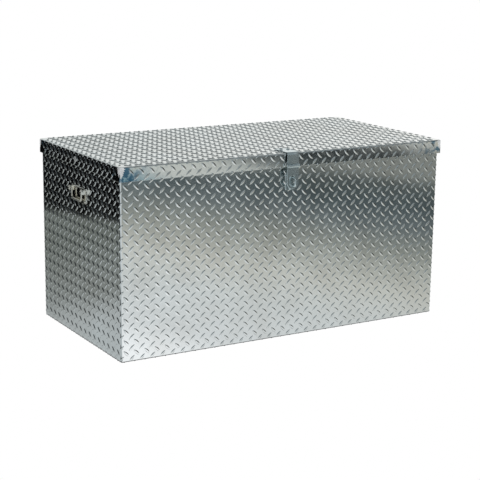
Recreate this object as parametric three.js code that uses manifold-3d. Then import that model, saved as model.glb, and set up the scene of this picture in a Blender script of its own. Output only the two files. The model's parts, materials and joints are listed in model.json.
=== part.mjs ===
// Truck tool box: a welded aluminium tread-plate chest with an overlapping lid on a continuous
// hinge, a padlock hasp, a folding handle on each end and two gas struts that hold the lid up.
// Millimetres, +Z up, front facing -Y, origin at the centre of the underside.

import * as THREE from 'three';
import { mergeVertices } from 'three/addons/utils/BufferGeometryUtils.js';
import Module from 'manifold-3d';

const wasm = await Module();
wasm.setup();

// ---------------------------------------------------------------- driving dimensions

const overallHeight = 622.3; // 24.5 in, floor to the top of the lid
const halfWidth = 609.6; // the body is 48 in wide
const halfDepth = 304.8; // and 24 in deep
const sheet = 2; // plate thickness between the raised lugs
const gap = 0.3; // left between separate pieces that rest on each other
const bendRadius = 5; // outside radius of the body's vertical bends
const foldRadius = 4; // outside radius of every fold along an edge

const rimHeight = 612; // top of the flange round the mouth
const flangeWidth = 20; // measured inward from the wall's inner face
const holeRadius = 2.9; // for every bolt and rivet, 5 mm or thinner
const past = 1; // how far a cutting solid runs beyond the faces that it cuts
const mouthX = halfWidth - sheet - flangeWidth;
const mouthY = halfDepth - sheet - flangeWidth;

const seal = {
  outerX: 602,
  outerY: 298,
  width: 10,
  height: 5.7,
  rounding: 1.5,
  outerCorner: 10,
  innerCorner: 4,
};

const lid = {
  side: halfWidth + 5.4,
  front: -halfDepth - 11.5,
  rear: halfDepth + 14,
  skirtBottom: overallHeight - 46.4,
  cornerRadius: 6,
};
const lidUnderside = overallHeight - sheet;

const stiffener = {
  xs: [-400, 0, 400],
  front: -235,
  rear: 240,
  width: 70,
  webWidth: 40,
  drop: 14,
  wall: 1.5,
};

const hinge = {
  y: halfDepth + gap + 5.7,
  z: 572,
  barrelRadius: 5.7,
  boreRadius: 3.5,
  pinRadius: 3.1,
  leaf: 2.3,
  knuckle: 50.8,
  knuckles: 23,
  knuckleGap: 0.4,
  leafClearance: 6.5,
  bodyLeafBottom: 532,
  lidLeafTop: 608,
  rivetXs: [-533.4, -381, -228.6, -76.2, 76.2, 228.6, 381, 533.4],
  bodyRivetZ: 548,
  lidRivetZ: 592,
};

const hasp = {
  width: 44,
  plate: 3,
  standOff: 6.7, // between the lid's front skirt and the leaf's upright part
  bend: 8,
  barrelRadius: 5.75,
  boreRadius: 2.75,
  pinRadius: 2.5,
  knuckleZ: 581,
  knuckleWidth: 12,
  knuckleGap: 0.4,
  leafRear: -240,
  leafCorner: 14,
  strapRoom: 6.5, // clear above the pivot, between the leaf's two knuckles
  strapTop: 574.5,
  strapBottom: 504,
  slotWidth: 14,
  slotTop: 549,
  slotBottom: 511,
  bolts: [[0, -250], [-13, -272], [13, -272]],
  boltHead: 5.5,
};
const haspBack = lid.front - hasp.standOff; // back face of the strap and of the leaf's upright part
const haspAxisY = haspBack - hasp.barrelRadius;

const staple = {
  wire: 3.5,
  legTop: 542.5,
  legBottom: 515.5,
  reach: 341.5, // the loop's outer run, in front of the body's centre
  loopBend: 8,
  plateWidth: 30,
  plateTop: 560,
  plateBottom: 497,
  plate: 3,
  plateCorner: 6,
  boltZs: [503.5, 553.5],
};

const handle = {
  z: 484,
  halfWidth: 56,
  halfHeight: 24,
  plate: 2.5,
  cornerRadius: 7,
  pivotZ: 499,
  pivotOut: 10.4, // pivot axis, measured out from the end wall
  eyeRadius: 7.5,
  eyeInner: 42,
  eyeOuter: 53,
  boreRadius: 4.1,
  rod: 3.5,
  legY: 37,
  drop: 31,
  bailBend: 12,
  trunnion: 49.5,
  endPlay: 0.6, // at each end of the trunnions
  boltHead: 4.6,
  bolts: [[-47, 467], [47, 467], [-19, 501.5], [19, 501.5]],
};

const strut = {
  x: 572,
  lower: { y: 220, z: 420 }, // pivot on the end wall
  upper: { y: 13, z: 598 }, // stud under the lid
  halfSocket: 6,
  socketRadius: 9,
  boreRadius: 4.3,
  stud: 4,
  tubeRadius: 9.5,
  tubeBore: 7.5,
  tubeStart: 22,
  tubeEnd: 245,
  glandLength: 10,
  rod: 4,
  rodStart: 40,
  pistonLength: 10,
  pistonRadius: 7,
  neckRadius: 5,
  studBase: 13, // from the strut's centre plane out to the bracket that carries its stud
  bracketPlate: 2,
  bodyBracket: { halfWidth: 14, halfWeb: 14, halfBase: 34 },
  lidBracket: { halfWidth: 20, halfTab: 14, legDrop: 10, tabDrop: 11, skirtLeg: 1.2, rimLeg: 1.7 },
};

const colours = {
  treadPlate: { color: 0xc9cbc8, roughness: 0.22, metalness: 1 },
  plainAluminium: { color: 0xb9bcbd, roughness: 0.35, metalness: 1 },
  stainless: { color: 0x9a9fa1, roughness: 0.3, metalness: 1 },
  zincPlate: { color: 0x8b9499, roughness: 0.32, metalness: 1 },
  chrome: { color: 0xd8d5cb, roughness: 0.1, metalness: 1 },
  blackPaint: { color: 0x191a1b, roughness: 0.4, metalness: 0.2 },
  rubber: { color: 0x1b1b1b, roughness: 0.85, metalness: 0 },
  plastic: { color: 0x232425, roughness: 0.6, metalness: 0 },
};

// ---------------------------------------------------------------- solids

// A closed three.js geometry as a solid: seams merged, collapsed triangles dropped, faces out.
function solid(geometry) {
  const bare = geometry.clone();
  bare.deleteAttribute('normal');
  bare.deleteAttribute('uv');
  const merged = mergeVertices(bare, 1e-3);
  const positions = merged.getAttribute('position').array;
  const index = merged.getIndex().array;
  const triangles = [];
  for (let i = 0; i < index.length; i += 3) {
    const [a, b, c] = [index[i], index[i + 1], index[i + 2]];
    if (a !== b && b !== c && c !== a) triangles.push(a, b, c);
  }
  if (signedVolume(positions, triangles) < 0) triangles.reverse();
  return new wasm.Manifold(new wasm.Mesh({
    numProp: 3,
    vertProperties: Float32Array.from(positions),
    triVerts: Uint32Array.from(triangles),
  }));
}

function signedVolume(positions, triangles) {
  const [a, b, c] = [new THREE.Vector3(), new THREE.Vector3(), new THREE.Vector3()];
  let volume = 0;
  for (let i = 0; i < triangles.length; i += 3) {
    a.fromArray(positions, 3 * triangles[i]);
    b.fromArray(positions, 3 * triangles[i + 1]);
    c.fromArray(positions, 3 * triangles[i + 2]);
    volume += a.dot(b.cross(c));
  }
  return volume;
}

const join = (...solids) => solids.reduce((whole, piece) => whole.add(piece));
const cut = (base, ...tools) => tools.reduce((rest, tool) => rest.subtract(tool), base);

// A box from its low and high limits on each axis.
function block([x0, x1], [y0, y1], [z0, z1]) {
  const box = new THREE.BoxGeometry(x1 - x0, y1 - y0, z1 - z0);
  return solid(box.translate((x0 + x1) / 2, (y0 + y1) / 2, (z0 + z1) / 2));
}

const axes = {
  x: new THREE.Vector3(1, 0, 0),
  y: new THREE.Vector3(0, 1, 0),
  z: new THREE.Vector3(0, 0, 1),
};

// A turned piece: the profile's [radius, distance along the axis] points start and end on the axis.
function turned(profile, origin, axis, segments = 12) {
  const points = profile.map(([radius, along]) => new THREE.Vector2(radius, along));
  const lathe = new THREE.LatheGeometry(points, segments);
  lathe.applyQuaternion(new THREE.Quaternion().setFromUnitVectors(axes.y, axis));
  return solid(lathe.translate(...origin));
}

// A plain round bar along an axis, from one distance to another.
function bar(radius, from, to, origin, axis, segments = 12) {
  return turned([[0, from], [radius, from], [radius, to], [0, to]], origin, axis, segments);
}

// A shape drawn across one axis and extruded along it, between two distances.
function extruded(shape, axis, from, to, curveSegments = 4) {
  const geometry = new THREE.ExtrudeGeometry(shape, { depth: to - from, bevelEnabled: false, curveSegments });
  geometry.translate(0, 0, from);
  const turns = {
    x: new THREE.Matrix4().makeBasis(axes.y, axes.z, axes.x), // drawn in Y and Z
    y: new THREE.Matrix4().makeBasis(axes.z, axes.x, axes.y), // drawn in Z and X
    z: new THREE.Matrix4(),
  };
  return solid(geometry.applyMatrix4(turns[axis]));
}

function roundedRectangle([x0, x1], [y0, y1], radius, path = new THREE.Shape()) {
  path.moveTo(x0 + radius, y0);
  path.lineTo(x1 - radius, y0);
  path.absarc(x1 - radius, y0 + radius, radius, -Math.PI / 2, 0);
  path.absarc(x1 - radius, y1 - radius, radius, 0, Math.PI / 2);
  path.absarc(x0 + radius, y1 - radius, radius, Math.PI / 2, Math.PI);
  path.absarc(x0 + radius, y0 + radius, radius, Math.PI, Math.PI * 1.5);
  return path;
}

// A block with rounded vertical corners, and rounded edges round its top and its bottom.
function foldedBlock([x0, x1], [y0, y1], [z0, z1], corner, fold) {
  const inset = roundedRectangle([x0 + fold, x1 - fold], [y0 + fold, y1 - fold], corner - fold);
  const geometry = new THREE.ExtrudeGeometry(inset, {
    depth: z1 - z0 - 2 * fold,
    bevelThickness: fold,
    bevelSize: fold,
    bevelSegments: 3,
    curveSegments: 3,
  });
  return solid(geometry.translate(0, 0, z0 + fold));
}

// A round rod bent in one plane: the path's points with every inner corner rounded to one radius.
function bentRod(corners, bend, radius, planeNormal, sides = 8) {
  const path = roundedPath(corners.map((p) => new THREE.Vector3(...p)), bend);
  const rings = path.map((point, i) => {
    const before = path[Math.max(i - 1, 0)];
    const after = path[Math.min(i + 1, path.length - 1)];
    const tangent = after.clone().sub(before).normalize();
    const across = new THREE.Vector3().crossVectors(planeNormal, tangent);
    return ringOfPoints(point, planeNormal, across, radius, sides);
  });
  return solid(skinned(rings));
}

function ringOfPoints(centre, u, v, radius, sides) {
  return Array.from({ length: sides }, (_, k) => {
    const angle = (2 * Math.PI * (k + 0.5)) / sides;
    const [across, up] = [radius * Math.cos(angle), radius * Math.sin(angle)];
    return centre.clone().addScaledVector(u, across).addScaledVector(v, up);
  });
}

// A closed skin through a list of rings that have the same number of points.
function skinned(rings) {
  const sides = rings[0].length;
  const index = [];
  for (let r = 0; r + 1 < rings.length; r++) {
    for (let k = 0; k < sides; k++) {
      const [a, b] = [r * sides + k, r * sides + ((k + 1) % sides)];
      index.push(a, b, b + sides, a, b + sides, a + sides);
    }
  }
  const last = (rings.length - 1) * sides;
  for (let k = 1; k + 1 < sides; k++) index.push(0, k + 1, k, last, last + k, last + k + 1);
  return new THREE.BufferGeometry().setFromPoints(rings.flat()).setIndex(index);
}

function roundedPath(corners, bend, steps = 4) {
  const path = [corners[0]];
  for (let i = 1; i + 1 < corners.length; i++) {
    const entry = corners[i - 1].clone().sub(corners[i]).setLength(bend).add(corners[i]);
    const exit = corners[i + 1].clone().sub(corners[i]).setLength(bend).add(corners[i]);
    const curve = new THREE.QuadraticBezierCurve3(entry, corners[i], exit);
    path.push(...curve.getPoints(steps));
  }
  path.push(corners[corners.length - 1]);
  return path;
}

// The outer part of a domed head's profile, from the shank out over the dome to the axis.
function domedHead(shank, head, height) {
  const shoulder = [head * 0.72, height * 0.7];
  return [[shank, 0], [head, 0], shoulder, [0, height]];
}

const rivet = { head: 5, height: 2.4, shank: 2.4, tail: 3.6, tailHeight: 1.8 };

// A dome-headed rivet. `axis` points out through the head, and the head's underside is at `face`.
// It clamps everything down to `depth` behind that face, where a smaller round tail holds it.
function domedRivet(face, axis, depth) {
  const { head, height, shank, tail, tailHeight } = rivet;
  const end = -depth - tailHeight;
  const profile = [[0, end], [tail, end], [tail, -depth], [shank, -depth], ...domedHead(shank, head, height)];
  return turned(profile, face, axis, 6);
}

const bolt = { height: 2.6, shank: 2.5, nut: 5, nutHeight: 4, thread: 1.5 };

// A dome-headed bolt with its hexagon nut run up to `depth` behind the head's face.
function boltWithNut(face, axis, depth, head = 5) {
  const { height, shank, nut, nutHeight, thread } = bolt;
  const end = -depth - nutHeight - thread;
  const turnedBolt = turned([[0, end], [shank, end], ...domedHead(shank, head, height)], face, axis, 8);
  return join(turnedBolt, bar(nut, -depth - nutHeight, -depth, face, axis, 6));
}

// A round hole that runs `depth` both ways from a point on the drilled face.
const hole = (face, axis, depth) => bar(holeRadius, -depth, depth, face, axis, 6);

// ---------------------------------------------------------------- scene graph

const toolBox = new THREE.Group();

function add(name, body, finish) {
  const mesh = body.getMesh();
  const geometry = new THREE.BufferGeometry();
  geometry.setAttribute('position', new THREE.BufferAttribute(mesh.vertProperties, 3));
  geometry.setIndex(new THREE.BufferAttribute(mesh.triVerts, 1));
  geometry.computeVertexNormals();
  const piece = new THREE.Mesh(geometry, new THREE.MeshStandardMaterial(colours[finish]));
  piece.name = name;
  toolBox.add(piece);
}

// The same piece on the other end of the box.
function mirrored(body) {
  const { vertProperties, triVerts } = body.getMesh();
  const flipped = new THREE.BufferGeometry();
  const positions = Float32Array.from(vertProperties, (value, i) => (i % 3 === 0 ? -value : value));
  flipped.setAttribute('position', new THREE.BufferAttribute(positions, 3));
  flipped.setIndex(new THREE.BufferAttribute(Uint32Array.from(triVerts), 1));
  return solid(flipped);
}

// Bolts or rivets of one kind, numbered from one.
function addEach(name, fasteners, finish) {
  fasteners.forEach((fastener, i) => add(`${name}_${i + 1}`, fastener, finish));
}

function addPair(name, leftBody, finish) {
  add(`${name}_left`, leftBody, finish);
  add(`${name}_right`, mirrored(leftBody), finish);
}

// Points out of the left end, out of the front, up, and out of the rear.
const leftward = axes.x.clone().negate();
const forward = axes.y.clone().negate();
const upward = axes.z;
const rearward = axes.y;

const sheetHoleDepth = 2 * sheet; // through one sheet, from a face just in front of it
const bracketHoleDepth = 6 * sheet; // through a wall and the plates on both its faces
const handleBoltFaces = handle.bolts.map(([y, z]) => [-halfWidth - gap - handle.plate - gap, y, z]);

// ---------------------------------------------------------------- body sheets

// Front and both ends from one sheet, bent at the two front corners, with inward flanges round
// the mouth and round the underside. The ends run past the rear panel's edges.
function bodyWrap() {
  const farRear = halfDepth + 50;
  const inner = halfWidth - sheet;
  const fullHeight = [-past, rimHeight + past];
  const outside = foldedBlock([-halfWidth, halfWidth], [-halfDepth, farRear],
    [0, rimHeight], bendRadius, foldRadius);
  const inside = foldedBlock([-inner, inner], [-halfDepth + sheet, farRear],
    [sheet, rimHeight - sheet], bendRadius - sheet, foldRadius - sheet);
  const mouth = block([-mouthX, mouthX], [-mouthY, farRear], fullHeight);
  const rearPanelSeat = block([-inner, inner], [halfDepth - sheet - gap, farRear], fullHeight);
  const behind = block([-halfWidth - past, halfWidth + past], [halfDepth, farRear + past], fullHeight);
  const stapleHoles = staple.boltZs.map((z) => hole([0, -halfDepth, z], forward, bracketHoleDepth));
  const endHoles = handleBoltFaces.map((face) => hole(face, leftward, bracketHoleDepth));
  const rightHoles = endHoles.map(mirrored);
  return cut(outside, inside, mouth, rearPanelSeat, behind, ...stapleHoles, ...endHoles, ...rightHoles);
}

// Rear wall with a flange at the top and at the bottom, folded forward between the ends' flanges.
function rearPanel() {
  const tip = mouthY;
  const web = halfDepth;
  const [outer, inner] = [foldRadius, foldRadius - sheet];
  const channel = new THREE.Shape();
  channel.moveTo(tip, 0);
  channel.absarc(web - outer, outer, outer, -Math.PI / 2, 0);
  channel.absarc(web - outer, rimHeight - outer, outer, 0, Math.PI / 2);
  channel.lineTo(tip, rimHeight);
  channel.lineTo(tip, rimHeight - sheet);
  channel.absarc(web - outer, rimHeight - outer, inner, Math.PI / 2, 0, true);
  channel.absarc(web - outer, outer, inner, 0, -Math.PI / 2, true);
  channel.lineTo(tip, sheet);
  const flanged = extruded(channel, 'x', -mouthX + gap, mouthX - gap);
  const reach = halfWidth - sheet - gap;
  const flat = block([-reach, reach], [halfDepth - sheet, halfDepth], [outer, rimHeight - outer]);
  const rivetHoles = hinge.rivetXs.map((x) => {
    return hole([x, halfDepth, hinge.bodyRivetZ], rearward, sheetHoleDepth);
  });
  return cut(join(flanged, flat), ...rivetHoles);
}

// Flat floor, let in flush between the flanges round the underside.
function bottomPanel() {
  const [x, y] = [mouthX - gap, mouthY - gap];
  return block([-x, x], [-y, y], [0, sheet]);
}

function rimSeal() {
  const { outerX, outerY, width, height, rounding } = seal;
  const [x, y] = [outerX - rounding, outerY - rounding];
  const [innerX, innerY] = [outerX - width + rounding, outerY - width + rounding];
  const ring = roundedRectangle([-x, x], [-y, y], seal.outerCorner);
  const opening = roundedRectangle([-innerX, innerX], [-innerY, innerY], seal.innerCorner, new THREE.Path());
  ring.holes.push(opening);
  const strip = new THREE.ExtrudeGeometry(ring, {
    depth: height - 2 * rounding,
    bevelThickness: rounding,
    bevelSize: rounding,
    bevelSegments: 1,
    curveSegments: 2,
  });
  return solid(strip.translate(0, 0, rimHeight + gap + rounding));
}

// ---------------------------------------------------------------- lid sheet and stiffeners

function lidShell() {
  const below = lid.skirtBottom - 2 * foldRadius;
  const outside = foldedBlock([-lid.side, lid.side], [lid.front, lid.rear],
    [below, overallHeight], lid.cornerRadius, foldRadius);
  const inside = foldedBlock([-lid.side + sheet, lid.side - sheet], [lid.front + sheet, lid.rear - sheet],
    [below, lidUnderside], lid.cornerRadius - sheet, foldRadius - sheet);
  const underSkirt = block([-lid.side - past, lid.side + past], [lid.front - past, lid.rear + past],
    [below - past, lid.skirtBottom]);
  const haspHoles = hasp.bolts.map(([x, y]) => hole([x, y, overallHeight], upward, sheetHoleDepth));
  const hingeHoles = hinge.rivetXs.map((x) => hole([x, lid.rear, hinge.lidRivetZ], rearward, sheetHoleDepth));
  const studHole = hole(lidStudFace, leftward, sheetHoleDepth);
  return cut(outside, inside, underSkirt, ...haspHoles, ...hingeHoles, studHole, mirrored(studHole));
}

// A hat-section channel that runs from front to rear under the lid.
function lidStiffener(x) {
  const { width, webWidth, drop, wall } = stiffener;
  const top = lidUnderside - gap;
  const [w, h] = [width / 2, webWidth / 2];
  const outline = [
    [top, -w], [top, -h + wall], [top - drop + wall, -h + wall], [top - drop + wall, h - wall],
    [top, h - wall], [top, w], [top - wall, w], [top - wall, h],
    [top - drop, h], [top - drop, -h], [top - wall, -h], [top - wall, -w],
  ];
  const hat = new THREE.Shape(outline.map(([z, across]) => new THREE.Vector2(z, x + across)));
  return extruded(hat, 'y', stiffener.front, stiffener.rear);
}

// ---------------------------------------------------------------- continuous hinge

const hingeHalfLength = (hinge.knuckle * hinge.knuckles) / 2;
const hingeAxis = [0, hinge.y, hinge.z];

// The knuckles whose number has the given parity, as short tubes.
function hingeKnuckles(parity) {
  const tubes = [];
  for (let k = parity; k < hinge.knuckles; k += 2) {
    const from = k * hinge.knuckle - hingeHalfLength + hinge.knuckleGap / 2;
    tubes.push(bar(hinge.barrelRadius, from, from + hinge.knuckle - hinge.knuckleGap, hingeAxis, axes.x, 8));
  }
  return join(...tubes);
}

// Slots that clear the other leaf's knuckles, cut in the strip nearest the pin.
function knuckleSlots(parity, [y0, y1], [z0, z1]) {
  const slots = [];
  for (let k = parity; k < hinge.knuckles; k += 2) {
    const from = k * hinge.knuckle - hingeHalfLength - hinge.knuckleGap / 2;
    slots.push(block([from, from + hinge.knuckle + hinge.knuckleGap], [y0 - past, y1 + past], [z0, z1]));
  }
  return slots;
}

const hingePinHalf = hingeHalfLength + 1;
const hingeBore = () => bar(hinge.boreRadius, -hingePinHalf, hingePinHalf, hingeAxis, axes.x, 8);

function hingeBodyLeaf() {
  const y = [hinge.y - hinge.barrelRadius, hinge.y - hinge.barrelRadius + hinge.leaf];
  const plate = block([-hingeHalfLength, hingeHalfLength], y, [hinge.bodyLeafBottom, hinge.z]);
  const slots = knuckleSlots(1, y, [hinge.z - hinge.leafClearance, hinge.z + past]);
  const rivets = hingeRivets(y[1], hinge.bodyRivetZ, hinge.leaf + gap + sheet + gap);
  return join(cut(join(cut(plate, ...slots), hingeKnuckles(0)), hingeBore()), rivets);
}

function hingeLidLeaf() {
  const y = [hinge.y + hinge.barrelRadius - hinge.leaf, hinge.y + hinge.barrelRadius];
  const plate = block([-hingeHalfLength, hingeHalfLength], y, [hinge.z, hinge.lidLeafTop]);
  const slots = knuckleSlots(0, y, [hinge.z - past, hinge.z + hinge.leafClearance]);
  const rivets = hingeRivets(lid.rear + gap, hinge.lidRivetZ, gap + sheet + gap + hinge.leaf);
  return join(cut(join(cut(plate, ...slots), hingeKnuckles(1)), hingeBore()), rivets);
}

function hingePin() {
  return bar(hinge.pinRadius, -hingePinHalf, hingePinHalf, hingeAxis, axes.x);
}

// Upset for good in the leaf that they hold, so they are one body with it.
function hingeRivets(faceY, z, depth) {
  return join(...hinge.rivetXs.map((x) => domedRivet([x, faceY, z], rearward, depth)));
}

// ---------------------------------------------------------------- hasp

const haspHalf = hasp.width / 2;
const haspPivot = [0, haspAxisY, hasp.knuckleZ];

const haspBarrel = (from, to) => bar(hasp.barrelRadius, from, to, haspPivot, axes.x);
const haspBore = () => bar(hasp.boreRadius, -haspHalf - past, haspHalf + past, haspPivot, axes.x);

// The leaf bolted on the lid's top: it bends down over the front edge and ends in two knuckles.
function haspLeaf() {
  const { plate, bend, width, leafRear } = hasp;
  const low = overallHeight + gap;
  const [back, front] = [haspBack, haspBack - plate];
  const bendY = front + bend;
  const bendZ = low + plate - bend;
  const profile = new THREE.Shape();
  profile.moveTo(leafRear, low);
  profile.lineTo(leafRear, low + plate);
  profile.absarc(bendY, bendZ, bend, Math.PI / 2, Math.PI);
  profile.lineTo(front, hasp.knuckleZ);
  profile.lineTo(back, hasp.knuckleZ);
  profile.absarc(bendY, bendZ, bend - plate, Math.PI, Math.PI / 2, true);
  const strip = extruded(profile, 'x', -haspHalf, haspHalf);
  const inner = haspHalf - hasp.knuckleWidth + hasp.knuckleGap;
  const strapRoom = block([-inner, inner], [front - past, back + past],
    [hasp.knuckleZ - past, hasp.knuckleZ + hasp.strapRoom]);
  const plan = roundedRectangle([-width / 2, width / 2], [front - width, leafRear], hasp.leafCorner);
  const roundedEnd = extruded(plan, 'z', hasp.knuckleZ - past, low + plate + past);
  const knuckles = join(
    haspBarrel(-haspHalf, -haspHalf + hasp.knuckleWidth),
    haspBarrel(haspHalf - hasp.knuckleWidth, haspHalf),
  );
  const boltHoles = hasp.bolts.map(([x, y]) => hole([x, y, low], upward, 2 * plate));
  return cut(join(cut(strip.intersect(roundedEnd), strapRoom), knuckles), haspBore(), ...boltHoles);
}

function haspStrap() {
  const { strapTop, strapBottom, slotWidth, slotTop, slotBottom } = hasp;
  const outline = new THREE.Shape();
  outline.moveTo(strapTop, -haspHalf);
  outline.lineTo(strapTop, haspHalf);
  outline.absarc(strapBottom + haspHalf, 0, haspHalf, Math.PI / 2, Math.PI * 1.5);
  const slotHalf = slotWidth / 2;
  const slot = new THREE.Path();
  slot.absarc(slotTop - slotHalf, 0, slotHalf, -Math.PI / 2, Math.PI / 2);
  slot.absarc(slotBottom + slotHalf, 0, slotHalf, Math.PI / 2, Math.PI * 1.5);
  outline.holes.push(slot);
  const plate = extruded(outline, 'y', haspBack - hasp.plate, haspBack, 8);
  const reach = haspHalf - hasp.knuckleWidth - hasp.knuckleGap;
  const neck = block([-reach, reach], [haspBack - hasp.plate, haspBack], [strapTop - past, hasp.knuckleZ]);
  return cut(join(plate, neck, haspBarrel(-reach, reach)), haspBore());
}

function haspPin() {
  const head = hasp.pinRadius + 2.45;
  const end = haspHalf + gap;
  const tip = end + 2;
  const profile = [
    [0, -tip], [head, -tip], [head, -end], [hasp.pinRadius, -end],
    [hasp.pinRadius, end], [head, end], [head, tip], [0, tip],
  ];
  return turned(profile, haspPivot, axes.x);
}

function haspBolts() {
  const face = overallHeight + gap + hasp.plate + gap;
  const clamped = hasp.plate + sheet + 3 * gap;
  return hasp.bolts.map(([x, y]) => boltWithNut([x, y, face], upward, clamped, hasp.boltHead));
}

// ---------------------------------------------------------------- staple on the body's front

function haspStaple() {
  const back = -halfDepth - gap;
  const { wire, legTop, legBottom, reach, loopBend, plateWidth, plateCorner } = staple;
  const outline = roundedRectangle([staple.plateBottom, staple.plateTop],
    [-plateWidth / 2, plateWidth / 2], plateCorner);
  const plate = extruded(outline, 'y', back - staple.plate, back);
  const root = back - staple.plate / 2;
  const corners = [[0, root, legTop], [0, -reach, legTop], [0, -reach, legBottom], [0, root, legBottom]];
  const loop = bentRod(corners, loopBend, wire, axes.x);
  const boltHoles = staple.boltZs.map((z) => hole([0, back, z], forward, 2 * staple.plate));
  return cut(join(plate, loop), ...boltHoles);
}

function stapleBolts() {
  const face = -halfDepth - staple.plate - 2 * gap;
  return staple.boltZs.map((z) => boltWithNut([0, face, z], forward, staple.plate + sheet + 3 * gap));
}

// ---------------------------------------------------------------- end handles (left one drawn)

const wallX = -halfWidth;
const handlePivot = [wallX - handle.pivotOut, 0, handle.pivotZ];

function handlePlateOutline() {
  const { z, halfWidth: w, halfHeight: h, cornerRadius } = handle;
  return roundedRectangle([-w, w], [z - h, z + h], cornerRadius);
}

// Plate with two eyes that hold the bail's trunnions.
function handlePlate() {
  const face = wallX - gap - handle.plate;
  const plate = extruded(handlePlateOutline(), 'x', face, wallX - gap);
  const { eyeInner, eyeOuter } = handle;
  const eyes = [[-eyeOuter, -eyeInner], [eyeInner, eyeOuter]].map(([from, to]) => {
    const round = bar(handle.eyeRadius, from, to, handlePivot, axes.y);
    const foot = block([handlePivot[0], face + past], [from, to],
      [handle.pivotZ - handle.eyeRadius, handle.pivotZ + handle.eyeRadius]);
    return join(round, foot);
  });
  const halfBore = handle.trunnion + handle.endPlay;
  const bore = bar(handle.boreRadius, -halfBore, halfBore, handlePivot, axes.y);
  const boltHoles = handleBoltFaces.map((at) => hole(at, leftward, 2 * handle.plate));
  return cut(join(plate, ...eyes), bore, ...boltHoles);
}

function handleBail() {
  const [x] = handlePivot;
  const { pivotZ, drop, legY, trunnion, bailBend, rod } = handle;
  const corners = [
    [x, -trunnion, pivotZ], [x, -legY, pivotZ], [x, -legY, pivotZ - drop],
    [x, legY, pivotZ - drop], [x, legY, pivotZ], [x, trunnion, pivotZ],
  ];
  const bends = bentRod([corners[1], ...corners.slice(2, 4), corners[4]], bailBend, rod, axes.x, 10);
  const axle = bar(rod, -trunnion, trunnion, handlePivot, axes.y);
  const clear = rod + past;
  const between = block([x - clear, x + clear], [-legY, legY], [pivotZ - clear, pivotZ + clear]);
  return join(bends, cut(axle, between));
}

// Reinforcing plate behind the wall.
function handleBacking() {
  const near = wallX + sheet + gap;
  const boltHoles = handleBoltFaces.map((at) => hole(at, leftward, bracketHoleDepth));
  return cut(extruded(handlePlateOutline(), 'x', near, near + handle.plate), ...boltHoles);
}

function handleBolts() {
  const clamped = 2 * handle.plate + sheet + 4 * gap;
  return handleBoltFaces.map((face) => boltWithNut(face, leftward, clamped, handle.boltHead));
}

// ---------------------------------------------------------------- gas struts (left one drawn)

const strutSpan = new THREE.Vector3(0, strut.upper.y - strut.lower.y, strut.upper.z - strut.lower.z);
const strutLength = strutSpan.length();
const strutAxis = strutSpan.clone().normalize();
const lowerPivot = [-strut.x, strut.lower.y, strut.lower.z];
const upperPivot = [-strut.x, strut.upper.y, strut.upper.z];
const lidStudFace = [-lid.side - gap, strut.upper.y, strut.upper.z];

// A channel bracket welded inside the end wall, with the stud that the strut's lower end turns on.
function strutBodyBracket() {
  const seat = wallX + sheet + gap;
  const face = -strut.x - strut.studBase;
  const { y, z } = strut.lower;
  const wall = strut.bracketPlate;
  const { halfWidth: w, halfWeb, halfBase } = strut.bodyBracket;
  const across = [y - w, y + w];
  const base = block([seat, seat + wall], across, [z - halfBase, z + halfBase]);
  const web = block([face - wall, face], across, [z - halfWeb, z + halfWeb]);
  const arms = [z - halfWeb, z + halfWeb - wall].map((low) => block([seat, face], across, [low, low + wall]));
  const stud = bar(strut.stud, face - past, -strut.x + strut.halfSocket + wall, [0, y, z], axes.x);
  return join(base, web, ...arms, stud);
}

// Bracket under the lid: one leg on the skirt, one across the rim and one hanging in the mouth.
function strutLidBracket() {
  const skirtFace = -lid.side + sheet + gap;
  const face = -strut.x - strut.studBase;
  const top = lidUnderside - gap;
  const { y, z } = strut.upper;
  const { halfWidth: w, halfTab, legDrop, tabDrop, skirtLeg, rimLeg } = strut.lidBracket;
  const cornerRelief = 0.75 * skirtLeg; // clears the lid's inner fold
  const legs = join(
    block([skirtFace, skirtFace + skirtLeg], [y - w, y + w], [z - legDrop, top - skirtLeg]),
    block([skirtFace + cornerRelief, face], [y - w, y + w], [top - rimLeg, top]),
    block([face - strut.bracketPlate, face], [y - halfTab, y + halfTab], [z - tabDrop, top]),
    bar(strut.stud, face - past, -strut.x - strut.halfSocket - gap, [0, y, z], axes.x),
  );
  return cut(legs, hole(lidStudFace, leftward, sheetHoleDepth + skirtLeg));
}

// Broad-headed rivet through the side skirt, finished flush on the inside.
function lidStudRivet() {
  const flush = gap + sheet + gap + 1;
  const profile = [[0, -flush], [2.5, -flush], [2.5, 0], [9, 0], [9, 1], [6, 2.6], [0, 3.2]];
  return turned(profile, lidStudFace, leftward, 16);
}

// One end fitting: a disc across the pivot and a neck along the strut towards its middle.
function strutSocket(pivot, towards, bored) {
  const disc = bar(strut.socketRadius, -strut.halfSocket, strut.halfSocket, pivot, axes.x, 16);
  const neck = bar(strut.neckRadius, 4, strut.tubeStart - gap, pivot, towards);
  const whole = join(disc, neck);
  const halfBore = strut.halfSocket + past;
  return bored ? cut(whole, bar(strut.boreRadius, -halfBore, halfBore, pivot, axes.x)) : whole;
}

function strutCylinder() {
  const { tubeStart, tubeEnd, glandLength, tubeRadius, tubeBore, rod } = strut;
  const profile = [
    [0, tubeStart], [tubeRadius - 2, tubeStart], [tubeRadius, tubeStart + 4],
    [tubeRadius, tubeEnd - 3], [tubeRadius - 2, tubeEnd], [rod + gap, tubeEnd],
    [rod + gap, tubeEnd - glandLength], [tubeBore, tubeEnd - glandLength],
    [tubeBore, tubeStart + 6], [0, tubeStart + 6],
  ];
  return turned(profile, lowerPivot, strutAxis, 16);
}

function strutRod() {
  const { rodStart, pistonLength, pistonRadius, rod, tubeStart } = strut;
  const end = strutLength - tubeStart;
  const profile = [
    [0, rodStart], [pistonRadius, rodStart], [pistonRadius, rodStart + pistonLength],
    [rod, rodStart + pistonLength], [rod, end], [0, end],
  ];
  return turned(profile, lowerPivot, strutAxis);
}

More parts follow.
